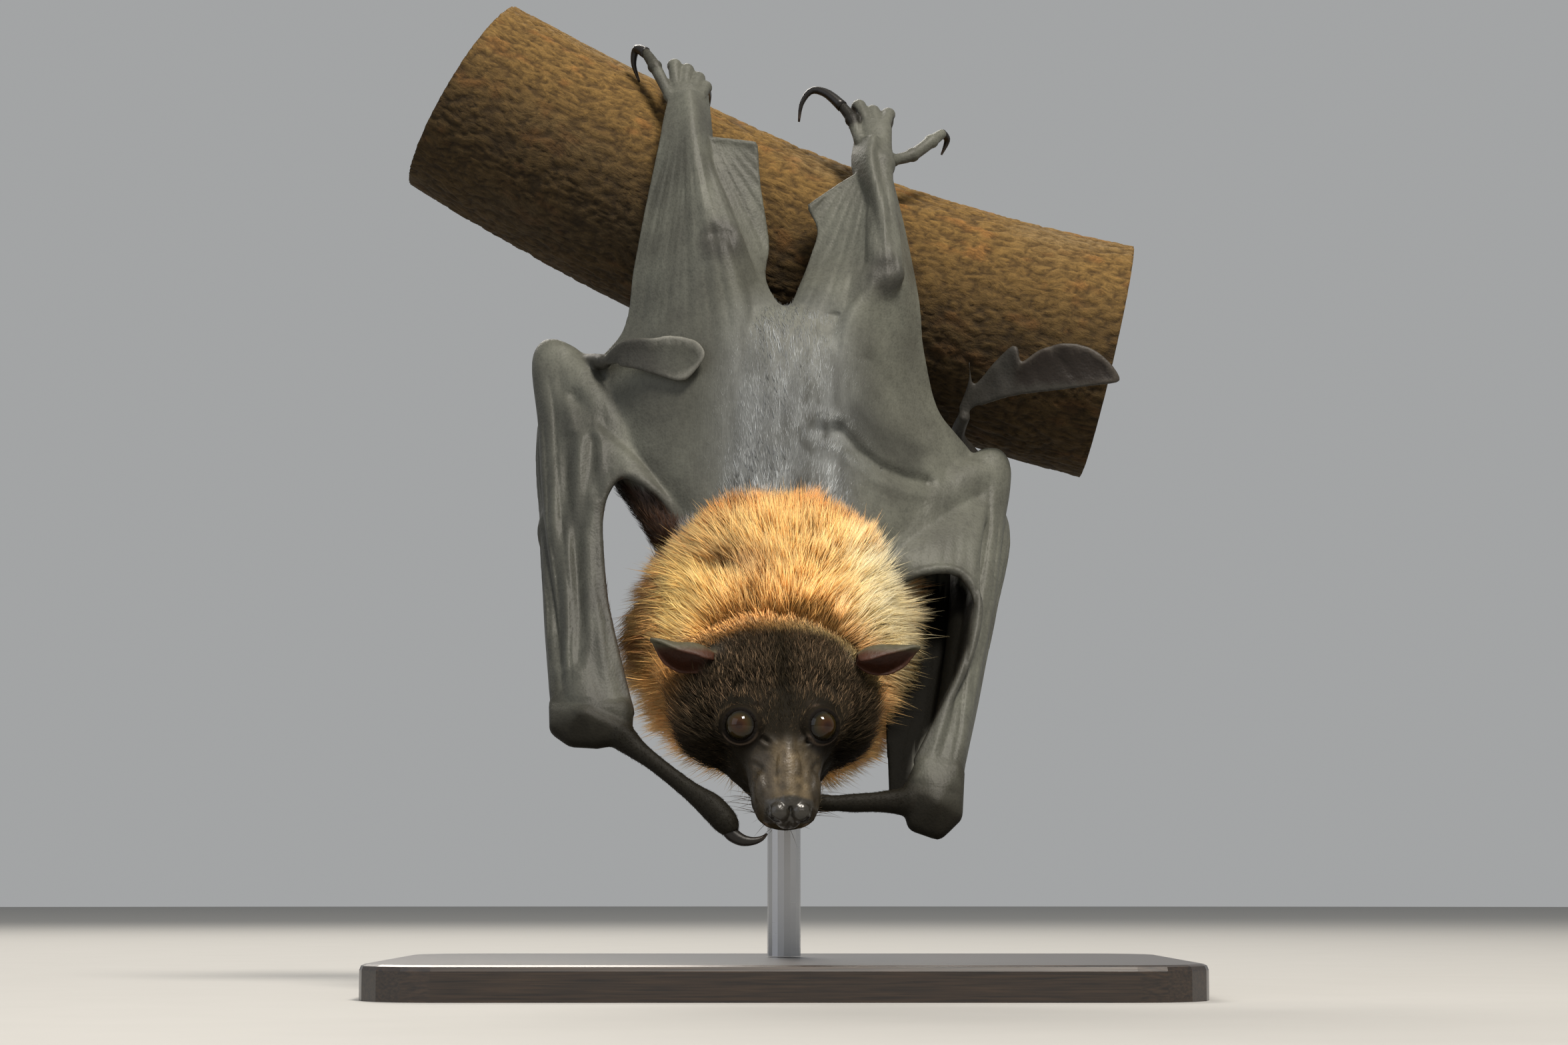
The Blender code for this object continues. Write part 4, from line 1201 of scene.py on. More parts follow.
def mantle_tones(coat):
    """Root and tip colours of the mantle: gold, with an orange rim, chestnut where it turns under, and
    painted shade in chestnut in the armpit and the parting's hollow.
    """
    x, y, z = coat.points.T
    back = coat.place[:, 2]
    patchy = coat.patchy
    side_rim = ramp(np.abs(x + 1), 25, 36) * ramp(z, 128, 142)
    orange = np.maximum.reduce([coat.rim, side_rim * 0.9, coat.under * 0.75])
    orange = np.clip(orange + 0.18 * patchy, 0, 1)
    # Painted shade in chestnut under the right arm and in the hollow of the mantle's parting, where its
    # dark hair bases also show.
    above_arm_line = z - 150 - 0.9 * (x + 32)
    armpit = ramp(x, -36, -43) * ramp(z, 118, 134) * ramp(y, -54, -44)
    armpit = np.maximum(armpit, ramp(above_arm_line + 3 * patchy, -4, 4) * ramp(x, -24, -32))
    hollow = np.exp(-(((x + 12) / 10) ** 2 + ((z - 139 + 0.35 * (x + 12)) / 4.5) ** 2))
    hollow *= ramp(y, -55, -62)
    underside_and_armpit_shade = np.maximum(armpit, coat.under)
    root = mix(GOLD, ORANGE, orange)
    root = mix(root, CHESTNUT, np.clip(underside_and_armpit_shade * 0.75 + 0.85 * hollow, 0, 0.95))
    root = mix(root, mix(GOLD, CHESTNUT, 0.35), 0.35 * ramp(patchy, 0.1, 0.9))
    tip = mix(GOLD_TIP, ORANGE_TIP, orange)
    tip = mix(tip, CHESTNUT, np.clip(underside_and_armpit_shade * 0.6 + 0.45 * hollow, 0, 0.9))

    # Straw-coloured shoulders, brightened as painted light and paler still towards the lit left one, and
    # the rusty far side of the right one.
    far_side = ramp(x + 2 * patchy, -31, -39) * ramp(z, 100, 116)
    shoulder = ramp(np.abs(x + 3), 12, 27) * ramp(z, 150, 140) * ramp(z, 92, 108)
    shoulder *= ramp(y, -44, -54) * (1 - np.maximum(armpit, far_side))
    lit_side = ramp(x, 0, 24)
    root = mix(root, mix(STRAW, LIT_STRAW, lit_side), shoulder * 0.85) * (1 + 0.2 * shoulder)[:, None]
    tip = mix(tip, mix(STRAW_TIP, LIT_STRAW_TIP, lit_side), shoulder * 0.95)
    root = mix(root, CHESTNUT, far_side * 0.7)
    tip = mix(tip, mix(ORANGE_TIP, CHESTNUT, 0.5), far_side * 0.65)

    # Painted light: the short fur of the nape, between the crown and the deep fur, is brightened down to
    # its roots.
    nape_light = ramp(coat.face, 1.55, 1.15) * ramp(back, 42, 54)
    root = mix(root, NAPE, coat.crown_band * 0.75) * (1 + 0.35 * nape_light)[:, None]
    tip = mix(tip, NAPE_TIP, coat.crown_band * 0.75)
    return root, tip


def short_fur_tones(coat):
    """Root and tip colours of the short fur: slate on the back, near black on head and hands, painted
    shade near black in the wing pits, and painted sheen down the back.
    """
    points, region, limb = coat.points, coat.region, coat.limb
    x, y, z = points.T
    side, up, back = coat.place.T
    belly = ramp(y, -40, -26) * ramp(z, 225, 200)
    root = mix(BACK_FUR, BELLY_FUR, belly)
    tip = mix(BACK_FUR_TIP, BELLY_FUR, belly)
    # Painted sheen: paler fur tips in soft streaks down the middle of the back.
    sheen = ramp(noise(points, (3.5, 3.5, 12), 24) + 0.7 * noise(points, (14, 14, 26), 25), -0.2, 1.1)
    sheen_strip = ramp(z, 228, 196) * ramp(y, -36, -48) * coat.middle
    tip = mix(tip, BACK_SHEEN, sheen * sheen_strip * 0.5)
    root = mix(root, SLATE_DARK, ramp(-coat.patchy - 0.6 * coat.fine, 0.0, 1.0) * sheen_strip * 0.5)
    streaks = noise(points, (2.0, 3.0, 9.0), 26) + 0.6 * noise(points, (4.5, 5.0, 16.0), 27)
    combed = (1 + 0.24 * streaks * coat.middle * ramp(z, 150, 158))[:, None]
    root, tip = root * combed, tip * combed
    edge_of_back = np.clip(limb * ramp(np.abs(x - 2), 8, 34) + ramp(z, 232, 250), 0, 1)
    root = mix(root, mix(SLATE, SLATE_DARK, 0.2), edge_of_back * (1 - 0.6 * coat.middle))
    tip = mix(tip, SLATE, edge_of_back * (0.85 - 0.5 * coat.middle))

    # Inside the wing pits: painted shade, near black, with reddish wool beside the mantle on the right.
    right, left = coat.arches["right"], coat.arches["left"]
    reddish = right * ramp(z, 176, 158)
    root = mix(mix(root, HOLLOW_SHADE, right), CHESTNUT, reddish * 0.6)
    tip = mix(mix(tip, BELLY_FUR, right), CHESTNUT, reddish * 0.8)
    root, tip = mix(root, HOLLOW_SHADE, left), mix(tip, HOLLOW_SHADE, left)

    tip = mix(tip, mix(SLATE, SLATE_DARK, 0.25), limb * ramp(np.abs(x), 30, 46) * 0.6)
    root = mix(root, HEAD_FUR, np.maximum(region["head"], coat.hand))
    tip = mix(tip, HEAD_FUR_TIP, region["head"])
    tip = mix(tip, mix(HEAD_FUR, HEAD_FUR_TIP, 0.25), coat.hand)
    centre_line = np.exp(-((side / 3.0) ** 2)) * ramp(back, 26, 32)
    dark_tips = np.clip(centre_line * 0.8 + ramp(back, 42, 30) * 0.6, 0, 1)
    tip = mix(tip, HEAD_FUR, region["head"] * dark_tips)
    ruff_tip = mix(ORANGE_TIP, GOLD_TIP, ramp(side, -14, 16) * ramp(up, -12, 2))
    return root, mix(tip, ruff_tip, coat.ruff * 0.85)


def wing_skin_tones(coat):
    """Slate of the bare skin: near black on the hands, pale on thin rims, with painted shade in the wing
    pits, on inward faces and at the knees, and painted light and shade across the wings and back.
    """
    points, region, patchy = coat.points, coat.region, coat.patchy
    x, y, z = points.T
    # Painted light and shade: the right wing's outer blade darker, the web of the left flank and the
    # middle of the back lighter.
    shaded_blade = ramp(x, -54, -62) * ramp(z, 222, 200)
    lit_flank_web = ramp(x, 14, 24) * ramp(z, 178, 192) * ramp(z, 262, 244) * ramp(y, -14, -20)
    light = 1 - 0.22 * shaded_blade + 0.12 * lit_flank_web + 0.22 * coat.middle * ramp(z, 150, 165)
    tone = mix(SLATE, SLATE_DARK, 0.22 + 0.26 * patchy) * light[:, None]
    wing = region["web"] + region["arm"]
    by_wrist = ramp(z, 100, 84) * (x < 0) + ramp(z, 80, 66) * (x > 0)
    # Painted shade on the wings' faces that turn away from the viewer, below the shoulders.
    inward_face_shade = wing * ramp(z, 170, 156) * ramp(-coat.normals[:, 1], 0.2, -0.3)
    tone = mix(tone, KNOB_SKIN, coat.hand)
    tone = mix(tone, KNOB_SKIN, by_wrist * wing * 0.6)
    # Painted shade: near black on those faces and in the left wing pit, and the belly fur's dark colour in
    # the right one.
    tone = mix(tone, HOLLOW_SHADE, np.clip(inward_face_shade, 0, 1) * 0.9)
    tone = mix(tone, HOLLOW_SHADE, coat.arches["left"])
    tone = mix(tone, BELLY_FUR, coat.arches["right"])

    for w in WINGS.values():
        is_left = w["side"] > 0
        upper, lower = wing_tip_rows(w)
        edge_gap = route_distance(points, [*upper, *lower[::-1]])
        mine = region["tip"] * (x * w["side"] > 0)
        tone = mix(tone, LEAF_SKIN if is_left else mix(SLATE, SLATE_DARK, 0.3), mine)
        tone = mix(tone, SLATE_RIM, mine * ramp(edge_gap, 1.5, 0.7) * (0.3 if is_left else 0.85))
        rim_gap = route_distance(points, w["rim"])
        tone = mix(tone, SLATE_DARK, region["web"] * ramp(rim_gap, 3.2, 1.4) * 0.45)
    left_shade = np.clip(ramp(x, 84, 79) + ramp(z, 213, 211.5), 0, 1) * 0.8
    right_shade = ramp(x + 0.5 * (z - 218), -38, -48) * 0.75
    tone = mix(tone, SLATE_DARK, region["tip"] * (x > 0) * left_shade)
    tone = mix(tone, SLATE_DARK, region["tip"] * (x < 0) * right_shade)

    # Painted shade in front of each knee, where it bends.
    for leg in LEGS.values():
        knee_gap = distance(points, shifted(leg["knee"], 0, -6, 0))
        tone = mix(tone, SLATE_DARK, ramp(knee_gap + 2 * patchy, 11, 4) * 0.75)
    for own, wide, share in (("left", 4.5, 1.0), ("right", 4.0, 0.5)):
        outer_toe = TOES[own][0][0]
        toe_gap = route_distance(points, outer_toe[1:])
        tone = mix(tone, KNOB_SKIN, region["foot"] * ramp(toe_gap, wide, 3.0) * share)
    return tone


def face_skin_tones(coat):
    """Bare skin of the face: a grey-brown muzzle with painted light along its ridge, black nose and lids,
    painted shade in the nostrils, and a pale edge to the lip.
    """
    side, up, _ = coat.place.T
    # Painted light: the muzzle is lightest along its ridge and darker down its flanks.
    lit_ridge = 0.45 + 0.55 * ramp(np.abs(side - 0.6), 8, 4)
    muzzle = coat.muzzle * lit_ridge * ramp(up, -9, -1) * (0.78 + 0.3 * coat.fine)
    tone = mix(HEAD_FUR, MUZZLE_SKIN, muzzle)
    tone = mix(tone, NOSE_SKIN, coat.nose_pad)
    # Painted shade inside each nostril.
    for s in (-1, 1):
        nostril = route_distance(coat.place, [(s * 4.4, 1.2, -2.6), (s * 5.6, 2.4, -1.6)])
        tone = mix(tone, NOSTRIL_SHADE, ramp(nostril, 1.9, 1.0) * 0.9)
    lip = [(-8.6, -2.6, 3.0), (-5.3, -6.0, -0.6), (0, -7.2, -2.0), (5.3, -6.0, -0.6), (8.6, -2.6, 3.0)]
    tone = mix(tone, LIP_EDGE, ramp(route_distance(coat.place, lip), 0.8, 0.3) * 0.6)
    for s, gap in coat.eye_gaps.items():
        tone = mix(tone, EYE_HOLLOW, ramp(gap, 10.0, 7.5) * ramp(gap, 6.1, 6.9) * 0.6)
        from_eye = coat.place - head_places(np.array([eye_centre(s)]))
        below = ramp(from_eye @ np.array([0.0, 0.5, 0.85]), -1.5, -4.0)
        tone = mix(tone, LOWER_LID, ramp(np.abs(gap - 6.3), 0.6, 0.2) * below * 0.6)
        tone = mix(tone, LID_EDGE, ramp(gap, 6.2, 5.7))
        brow_spot = distance(coat.place, (s * 8.9, 13.6, 36))
        tone = mix(tone, BROW_SPOT, ramp(brow_spot, 3.2, 1.4) * 0.7)
    return tone


def ear_tones(coat):
    """Grey-brown outside and along the curled top edge, and dark red-brown in the hollow."""
    _, up, back = coat.place.T
    outward = ramp(-(coat.normals @ np.array(head_direction(0, 0.35, -0.94))), -0.15, 0.25)
    rise = up * math.cos(FACE_LEAN) + back * math.sin(FACE_LEAN)
    return mix(EAR_INSIDE, EAR_OUTSIDE, np.maximum(outward, ramp(rise, 53.4, 55.8)))


def colour_coat(coat):
    """Colours of the tufts and of the skin between them, which is hairy where tufts grow."""
    x, y, z = coat.points.T
    _, up, back = coat.place.T
    region, mantle, limb = coat.region, coat.mantle, coat.limb
    gold, gold_tip = mantle_tones(coat)
    fur, fur_tip = short_fur_tones(coat)
    root, tip = mix(fur, gold, mantle), mix(fur_tip, gold_tip, mantle)
    skin = mix(wing_skin_tones(coat), face_skin_tones(coat), region["head"])
    skin = mix(skin, ear_tones(coat), region["ear"])

    # How far out from the middle of the back a place is: 1 at the edge of its short fur.
    coat.back_reach = np.hypot(x / 50, (z - 196) / 68)
    back_fur = region["trunk"] * ramp(z, 244, 200) * (0.5 + 0.5 * ramp(np.abs(x - 2), 34, 14))
    hairy = mantle + 0.85 * back_fur + region["neck"] + 0.75 * limb * ramp(coat.back_reach, 1.05, 0.3)
    hairy = np.maximum(np.clip(hairy, 0, 1), region["head"] * ramp(back, 22, 30) * 0.8)
    for gap in coat.eye_gaps.values():
        hairy = hairy * ramp(gap, 6.5, 8.1)
    under_fur = mix(root, SLATE_DARK, 0.25) * (0.92 - 0.2 * mantle[:, None])
    skin = mix(skin, under_fur, hairy)

    # Painted shade: the skin and coat are darker in the deep fold beside the left hip.
    fold_gap = route_distance(coat.points[:, [0, 2]], ((25, 197), (32, 191), (43, 186)))
    fold = ramp(fold_gap + 1.5 * coat.patchy, 9, 2) * ramp(y, -20, -32) * (1 - mantle)
    fold_shade = (1 - 0.3 * fold)[:, None]
    coat.skin, coat.root, coat.tip = skin * fold_shade, root * fold_shade, tip * fold_shade
    coat.hairy = hairy
    sleek = 0.38 * (1 - coat.hand * 0.6) * (1 - coat.arches["left"])
    sleek *= (1 - hairy) * (1 - region["head"])
    moist = coat.nose_pad * 0.9 + region["head"] * coat.muzzle * ramp(up, -4, 3) * 0.62
    coat.gloss = np.clip(sleek + moist, 0, 1)


def size_tufts(coat):
    """Length, density and width of the tufts: tiny on the face and feet, long on the mantle."""
    x, y, z = coat.points.T
    back = coat.place[:, 2]
    region, mantle = coat.region, coat.mantle
    trunk = region["trunk"] * ramp(z, 250, 232)
    near_trunk = np.clip(region["web"] + region["arm"] + region["leg"], 0, 1) * (1 - trunk)
    near_trunk *= ramp(coat.back_reach, 1.05, 0.35)
    head = region["head"] * ramp(back, 20, 30)
    clear = np.ones(len(x))
    for gap in coat.eye_gaps.values():
        clear *= ramp(gap, 6.4, 7.8)
    face_length = (2.6 + 3.6 * ramp(back, 28, 48) + 8.0 * coat.cheek) * (0.3 + 0.7 * clear)
    muzzle_fur = region["head"] * ramp(back, 25, 18) * ramp(back, 5, 9)
    neck = region["neck"]
    length = trunk * 4.6 + near_trunk * 2.6 + head * face_length + muzzle_fur * 1.5 + neck * 10
    density = trunk * 1.5 + near_trunk * 1.1 + head * 4.4 * clear + muzzle_fur * 2.0 + neck * 2.4

    long_hair = np.clip(mantle + 0.6 * neck, 0, 1)
    coat.flank = ramp(np.abs(x + 3), 26, 36) * ramp(z, 142, 128)
    mantle_length = 14.5 - 5.0 * coat.rim - 5.0 * coat.crown_band * ramp(y, -50, -64) + 3.0 * coat.flank
    length = length * (1 - long_hair) + mantle_length * long_hair
    density = density * (1 - long_hair) + (4.2 * ramp(y, -26, -42) + 1.3) * long_hair
    coat.fuzz = np.clip(region["thumb"] + 0.3 * region["foot"] + 0.25 * region["wrist"], 0, 1)
    coat.inner_arm = np.clip(coat.arches["right"] * ramp(z, 108, 124), 0, 1) * (1 - mantle)
    length = length + coat.fuzz * 1.7 + coat.inner_arm * 5.0
    density = density + coat.fuzz * 1.8 + coat.inner_arm * 1.5
    coat.length = length * (1 + 0.12 * coat.patchy)
    coat.density = np.where(region["ear"] > 0.3, 0, density)
    coat.width = 0.15 + 0.09 * mantle + 0.06 * trunk + 0.09 * region["head"] * ramp(back, 16, 26)


def comb_coat(coat):
    """The lie of the coat: away from the nose over head and mantle, then up the back."""
    points, region, mantle, cheek = coat.points, coat.region, coat.mantle, coat.cheek
    x, y, z = points.T
    side = coat.place[:, 0]
    spread = points - np.array(on_head(0, -2, 4))
    spread /= np.linalg.norm(spread, axis=1)[:, None]
    spread[:, 2] -= 0.95 * ramp(np.abs(x + 3), 20, 40) * ramp(z, 158, 128)  # the sides droop
    sideways = np.array(head_direction(1, 0, 0))
    spread += sideways * (np.sign(side) * cheek * region["head"] * 0.8)[:, None]
    spread[:, 2] -= 0.25 * cheek * region["head"]
    up_back = np.stack([0.012 * x, np.zeros(len(x)), np.ones(len(x))], axis=1)
    body = np.clip(region["trunk"] + region["web"] + region["leg"] + region["arm"], 0, 1)
    body = (body * (1 - mantle))[:, None]
    swirl = np.stack([noise(points, 15, seed) for seed in (31, 32, 33)], axis=1)
    swirl *= (0.16 + 0.34 * mantle * (1 - coat.under))[:, None]
    flow = spread * (1 - body) + up_back * body + swirl
    for w in WINGS.values():
        route = np.array([p[:3] for p in thumb_route(w)])
        mine = (region["thumb"] * (x * w["side"] > 0))[:, None]
        flow = flow * (1 - mine) + unit(route[-1:] - route[:1]) * mine
    foot = region["foot"][:, None]
    coat.flow = flow * (1 - foot) + np.array([0, 0, 1.0]) * foot

    coat.lift = 0.07 + 0.32 * mantle + (0.12 + 0.65 * cheek) * region["head"] + 0.25 * coat.fuzz
    edgeways = ramp(np.abs(coat.normals[:, 0]), 0.45, 0.85) * ramp(y, -30, -40)
    coat.lift += (0.15 * coat.flank + 0.5 * edgeways) * mantle + 0.2 * coat.inner_arm
    coat.lift += 0.35 * edgeways * cheek * region["head"]
    coat.lift -= 0.2 * mantle * ramp(z, coat.edge - 12, coat.edge - 2)


def plan_coat(mesh, forms):
    """Works out the markings and the coat for every vertex of the skin."""
    coat = Coat(mesh, forms)
    mark_out(coat)
    colour_coat(coat)
    size_tufts(coat)
    comb_coat(coat)
    return coat


# ------------------------------------------------------------------ finishing meshes
def set_attribute(mesh, name, values, kind):
    layer = mesh.attributes.new(name, kind, "POINT")
    if kind == "FLOAT_COLOR":
        values = np.column_stack([linear(values), np.ones(len(values))])
        layer.data.foreach_set("color", values.ravel().astype(np.float32))
    elif kind == "FLOAT_VECTOR":
        layer.data.foreach_set("vector", values.ravel().astype(np.float32))
    else:
        layer.data.foreach_set("value", np.asarray(values, np.float32))


def add_piece(name, mesh, finish, slot, *replaced, smooth=True):
    """Adds a finished mesh, which is in millimetres, and hides the solids that it replaces."""
    mesh.name = name
    mesh.transform(Matrix.Scale(MM, 4))
    mesh.materials.clear()
    mesh.materials.append(finish)
    if smooth:
        mesh.shade_smooth()
    obj = bpy.data.objects.new(name, mesh)
    bpy.context.scene.collection.objects.link(obj)
    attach(obj, "root")
    if replaced:
        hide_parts(*replaced)
    return obj


# ------------------------------------------------------------------ the coat
class Tufts:
    """Roots, shapes and tones of many tufts, one row for each."""


def spread_roots(mesh, coat, rng):
    """Tuft roots over the skin, as many on each face as its area and density ask for."""
    mesh.calc_loop_triangles()
    tris = np.empty(len(mesh.loop_triangles) * 3, np.int32)
    mesh.loop_triangles.foreach_get("vertices", tris)
    tris = tris.reshape(-1, 3)
    a, b, c = (coat.points[tris[:, k]] for k in range(3))
    area = 0.5 * np.linalg.norm(np.cross(b - a, c - a), axis=1)
    weight = np.cumsum(area * coat.density[tris].mean(1))
    count = int(weight[-1])
    spots = (np.arange(count) + rng.random(count)) / count * weight[-1]
    chosen = tris[np.minimum(np.searchsorted(weight, spots), len(tris) - 1)]
    p, q = np.sqrt(rng.random(count)), rng.random(count)
    shares = np.stack([1 - p, p * (1 - q), p * q], axis=1)

    def at_roots(values):
        picked = values[chosen]
        if values.ndim == 1:
            return (picked * shares).sum(1)
        return (picked * shares[:, :, None]).sum(1)

    return at_roots, count


def shape_tufts(tufts, coat, at_roots, rng):
    """Gives each tuft a bend and a tip, lying along the coat with some scatter."""
    root, normal = at_roots(coat.points), unit(at_roots(coat.normals))
    flow, length = at_roots(coat.flow), at_roots(coat.length)
    lift, mantle, head = at_roots(coat.lift), tufts.mantle, tufts.head
    lie = unit(flow - normal * (flow * normal).sum(1)[:, None])
    across = np.cross(normal, lie)
    turn = rng.normal(0, 0.16 + 0.10 * mantle + 0.16 * head * (1 - mantle))[:, None]
    lie = unit(lie * np.cos(turn) + across * np.sin(turn))
    lift = np.clip(lift + rng.normal(0, 0.10 + 0.10 * mantle), 0.03, 1.2)[:, None]
    length = length * rng.uniform(0.7, 1.2, tufts.count)
    stray = rng.random(tufts.count) < 0.06 * mantle + 0.12 * tufts.ruff
    length = np.where(stray, length * 1.4, length)
    first = lie * np.cos(lift) + normal * np.sin(lift)
    late = lift * (0.35 + 0.3 * mantle[:, None])
    second = lie * np.cos(late) + normal * np.sin(late)
    second[:, 2] -= 0.12 * mantle
    half = length[:, None] * 0.5
    tufts.root, tufts.length = root, length
    tufts.middle = root + first * half
    tufts.tip = tufts.middle + unit(second) * half
    tufts.sunk_root = root - normal * 0.35


def gather_locks(tufts, rng):
    """Draws neighbouring tufts together into locks, most of all on the mantle."""
    root, mantle = tufts.root, tufts.mantle
    leaders = np.flatnonzero(rng.random(tufts.count) < 0.06 - 0.043 * mantle)
    finder = KDTree(len(leaders))
    for k in leaders:
        finder.insert(root[k], int(k))
    finder.balance()
    lock = np.array([finder.find(point)[1] for point in root])
    gather = (0.14 + 0.34 * mantle)[:, None] * rng.uniform(0.3, 1.3, tufts.count)[:, None]
    near = (distance(root, root[lock]) < 3.0 + 3.5 * mantle)[:, None]
    tufts.tip = tufts.tip + np.where(near, (tufts.tip[lock] - tufts.tip) * gather, 0)
    pull = (tufts.middle[lock] - tufts.middle) * gather * 0.4
    tufts.middle = tufts.middle + np.where(near, pull, 0)
    tufts.lock = lock


def capped(tones):
    """Tones brought down to 255 where they pass it, with their hue kept."""
    brightest = np.maximum(tones.max(axis=1), 255)
    return np.maximum(tones, 0) * (255 / brightest)[:, None]


def tone_tufts(tufts, coat, at_roots, rng):
    """Gives each hair a tone of its own, darker at the root, and each lock a small change too."""
    mantle = tufts.mantle
    lock_tone = noise(tufts.root[tufts.lock], 4, 41)
    shade = (rng.normal(1.0, 0.12, tufts.count) + (0.10 + 0.08 * mantle) * lock_tone)[:, None]
    depth = (0.72 - 0.14 * mantle)[:, None]
    root, tip = at_roots(coat.root), at_roots(coat.tip)
    tufts.root_tone = capped(root * shade * depth)
    tufts.middle_tone = capped(mix(root, tip, 0.25 + 0.3 * tufts.ruff) * shade)
    # About a quarter of the head's short hairs have pale tips: partly their own grizzling, partly painted
    # glints.
    is_pale = rng.random(tufts.count) < 0.26
    pale = np.where(is_pale, rng.uniform(1.2, 2.3, tufts.count), 0.85)
    pale = 1 + (pale - 1) * tufts.head * (1 - mantle)
    tufts.tip_tone = capped(tip * pale[:, None] * shade)


def grow_tufts(mesh, coat, rng):
    tufts = Tufts()
    at_roots, tufts.count = spread_roots(mesh, coat, rng)
    tufts.mantle, tufts.head = at_roots(coat.mantle), at_roots(coat.region["head"])
    tufts.ruff = at_roots(coat.ruff) * (1 - tufts.mantle)
    tufts.place = at_roots(coat.place)
    shape_tufts(tufts, coat, at_roots, rng)
    gather_locks(tufts, rng)
    tone_tufts(tufts, coat, at_roots, rng)
    tufts.root = tufts.sunk_root
    tufts.width = at_roots(coat.width) * rng.uniform(0.75, 1.3, tufts.count)
    add_whiskers(tufts, rng)
    return tufts


def add_whiskers(tufts, rng):
    """Long single hairs on the lips, the chin and the brows, which curve back a little."""
    rows = []
    for s in (-1, 1):
        for _ in range(16):
            back = rng.uniform(3, 13)
            rows.append((s * (7.6 + 0.28 * back), rng.uniform(-5.5, -0.5), back, s * 1.0, -0.5, 0.45))
        for _ in range(7):
            rows.append((s * rng.uniform(0.5, 5), -8.2, rng.uniform(0.5, 8), s * 0.35, -1.0, 0.15))
        for _ in range(5):
            rows.append((s * rng.uniform(7.5, 10), 13.6, rng.uniform(34, 38), s * 0.3, 0.9, 0.3))
    rows = np.array(rows)
    count = len(rows)
    axes = np.array(HEAD.to_3x3())
    place = rows[:, :3]
    root = place @ axes.T + np.array(NOSE_TIP)
    way = unit(rows[:, 3:] + rng.normal(0, 0.22, (count, 3))) @ axes.T
    half = rng.uniform(7, 15, count)[:, None] * 0.5
    middle = root + way * half
    tone = np.tile(np.array(HEAD_FUR_TIP, float) * 0.8, (count, 1))
    extra = {
        "root": root,
        "middle": middle,
        "tip": middle + unit(way + np.array([0, 0.25, -0.1])) * half,
        "root_tone": tone,
        "middle_tone": tone,
        "tip_tone": tone * 1.5,
        "width": np.full(count, 0.16),
        "mantle": np.zeros(count),
        "length": np.full(count, 12.0),
        "head": np.ones(count),
        "place": place,
    }
    for name, values in extra.items():
        setattr(tufts, name, np.concatenate([getattr(tufts, name), values]))


# A long hair is a three-sided spike bent at its middle, and a short one is a straight spike.
# Each has the corners of its faces, and where they lie in its patch of the map.
BENT = (
    [(0, 1, 4, 3), (1, 2, 5, 4), (2, 0, 3, 5), (2, 1, 0), (3, 4, 6), (4, 5, 6), (5, 3, 6)],
    [(-0.5, -0.5), (0, -0.5), (0.5, -0.5), (-0.5, 0), (0, 0), (0.5, 0), (0, 0.5)],
)
STRAIGHT = (
    [(2, 1, 0), (0, 1, 3), (1, 2, 3), (2, 0, 3)],
    [(-0.5, -0.5), (0, -0.5), (0.5, -0.5), (0, 0.5)],
)
BENT_TRIANGLES, STRAIGHT_TRIANGLES = 10, 4


def tuft_mesh(tufts, rows, unwrap, bent):
    """One mesh of closed spikes, each with its own patch in the map."""
    count = len(rows)
    root, middle, tip = tufts.root[rows], tufts.middle[rows], tufts.tip[rows]
    radius = (tufts.width[rows] / 2)[:, None]
    ahead = unit(tip - root)
    wide = unit(np.cross(ahead, np.array([0.31, 0.17, 0.94])))
    deep = np.cross(ahead, wide)
    faces, patch = BENT if bent else STRAIGHT
    each = len(patch)
    corners = np.empty((count, each, 3))
    tone = np.empty((count, each, 3))
    for k in range(3):
        angle = 2 * math.pi * k / 3
        around = (wide * math.cos(angle) + deep * math.sin(angle)) * radius
        corners[:, k] = root + around
        tone[:, k] = tufts.root_tone[rows]
        if bent:
            corners[:, 3 + k] = middle + around * 0.85
            tone[:, 3 + k] = tufts.middle_tone[rows]
    corners[:, -1] = tip
    tone[:, -1] = tufts.tip_tone[rows]
    pattern = np.array([corner for face in faces for corner in face])
    sizes = np.tile([len(face) for face in faces], count)
    loops = (np.arange(count)[:, None] * each + pattern).ravel()
    starts = np.concatenate([[0], np.cumsum(sizes)[:-1]])
    mesh = bpy.data.meshes.new("tufts")
    mesh.vertices.add(count * each)
    mesh.vertices.foreach_set("co", corners.ravel().astype(np.float32))
    mesh.loops.add(len(loops))
    mesh.loops.foreach_set("vertex_index", loops.astype(np.int32))
    mesh.polygons.add(len(sizes))
    mesh.polygons.foreach_set("loop_start", starts.astype(np.int32))
    mesh.update(calc_edges=True)
    set_attribute(mesh, "tone", tone.reshape(-1, 3), "FLOAT_COLOR")
    places = np.clip(unwrap[rows], PATCH, 1 - PATCH)[:, None, :] + np.array(patch) * PATCH
    layer = mesh.uv_layers.new(name="OFBake")
    layer.uv.foreach_set("vector", places.reshape(-1, 2)[loops].ravel().astype(np.float32))
    return mesh


def round_axis(points, axis_x, axis_y, low, high):
    """The skin's tube unrolled: the angle round its axis, and the height along it."""
    angle = np.arctan2(points[:, 0] - axis_x, -(points[:, 1] - axis_y))
    return np.stack([angle / (2 * math.pi) + 0.5, (points[:, 2] - low) / (high - low)], axis=1)


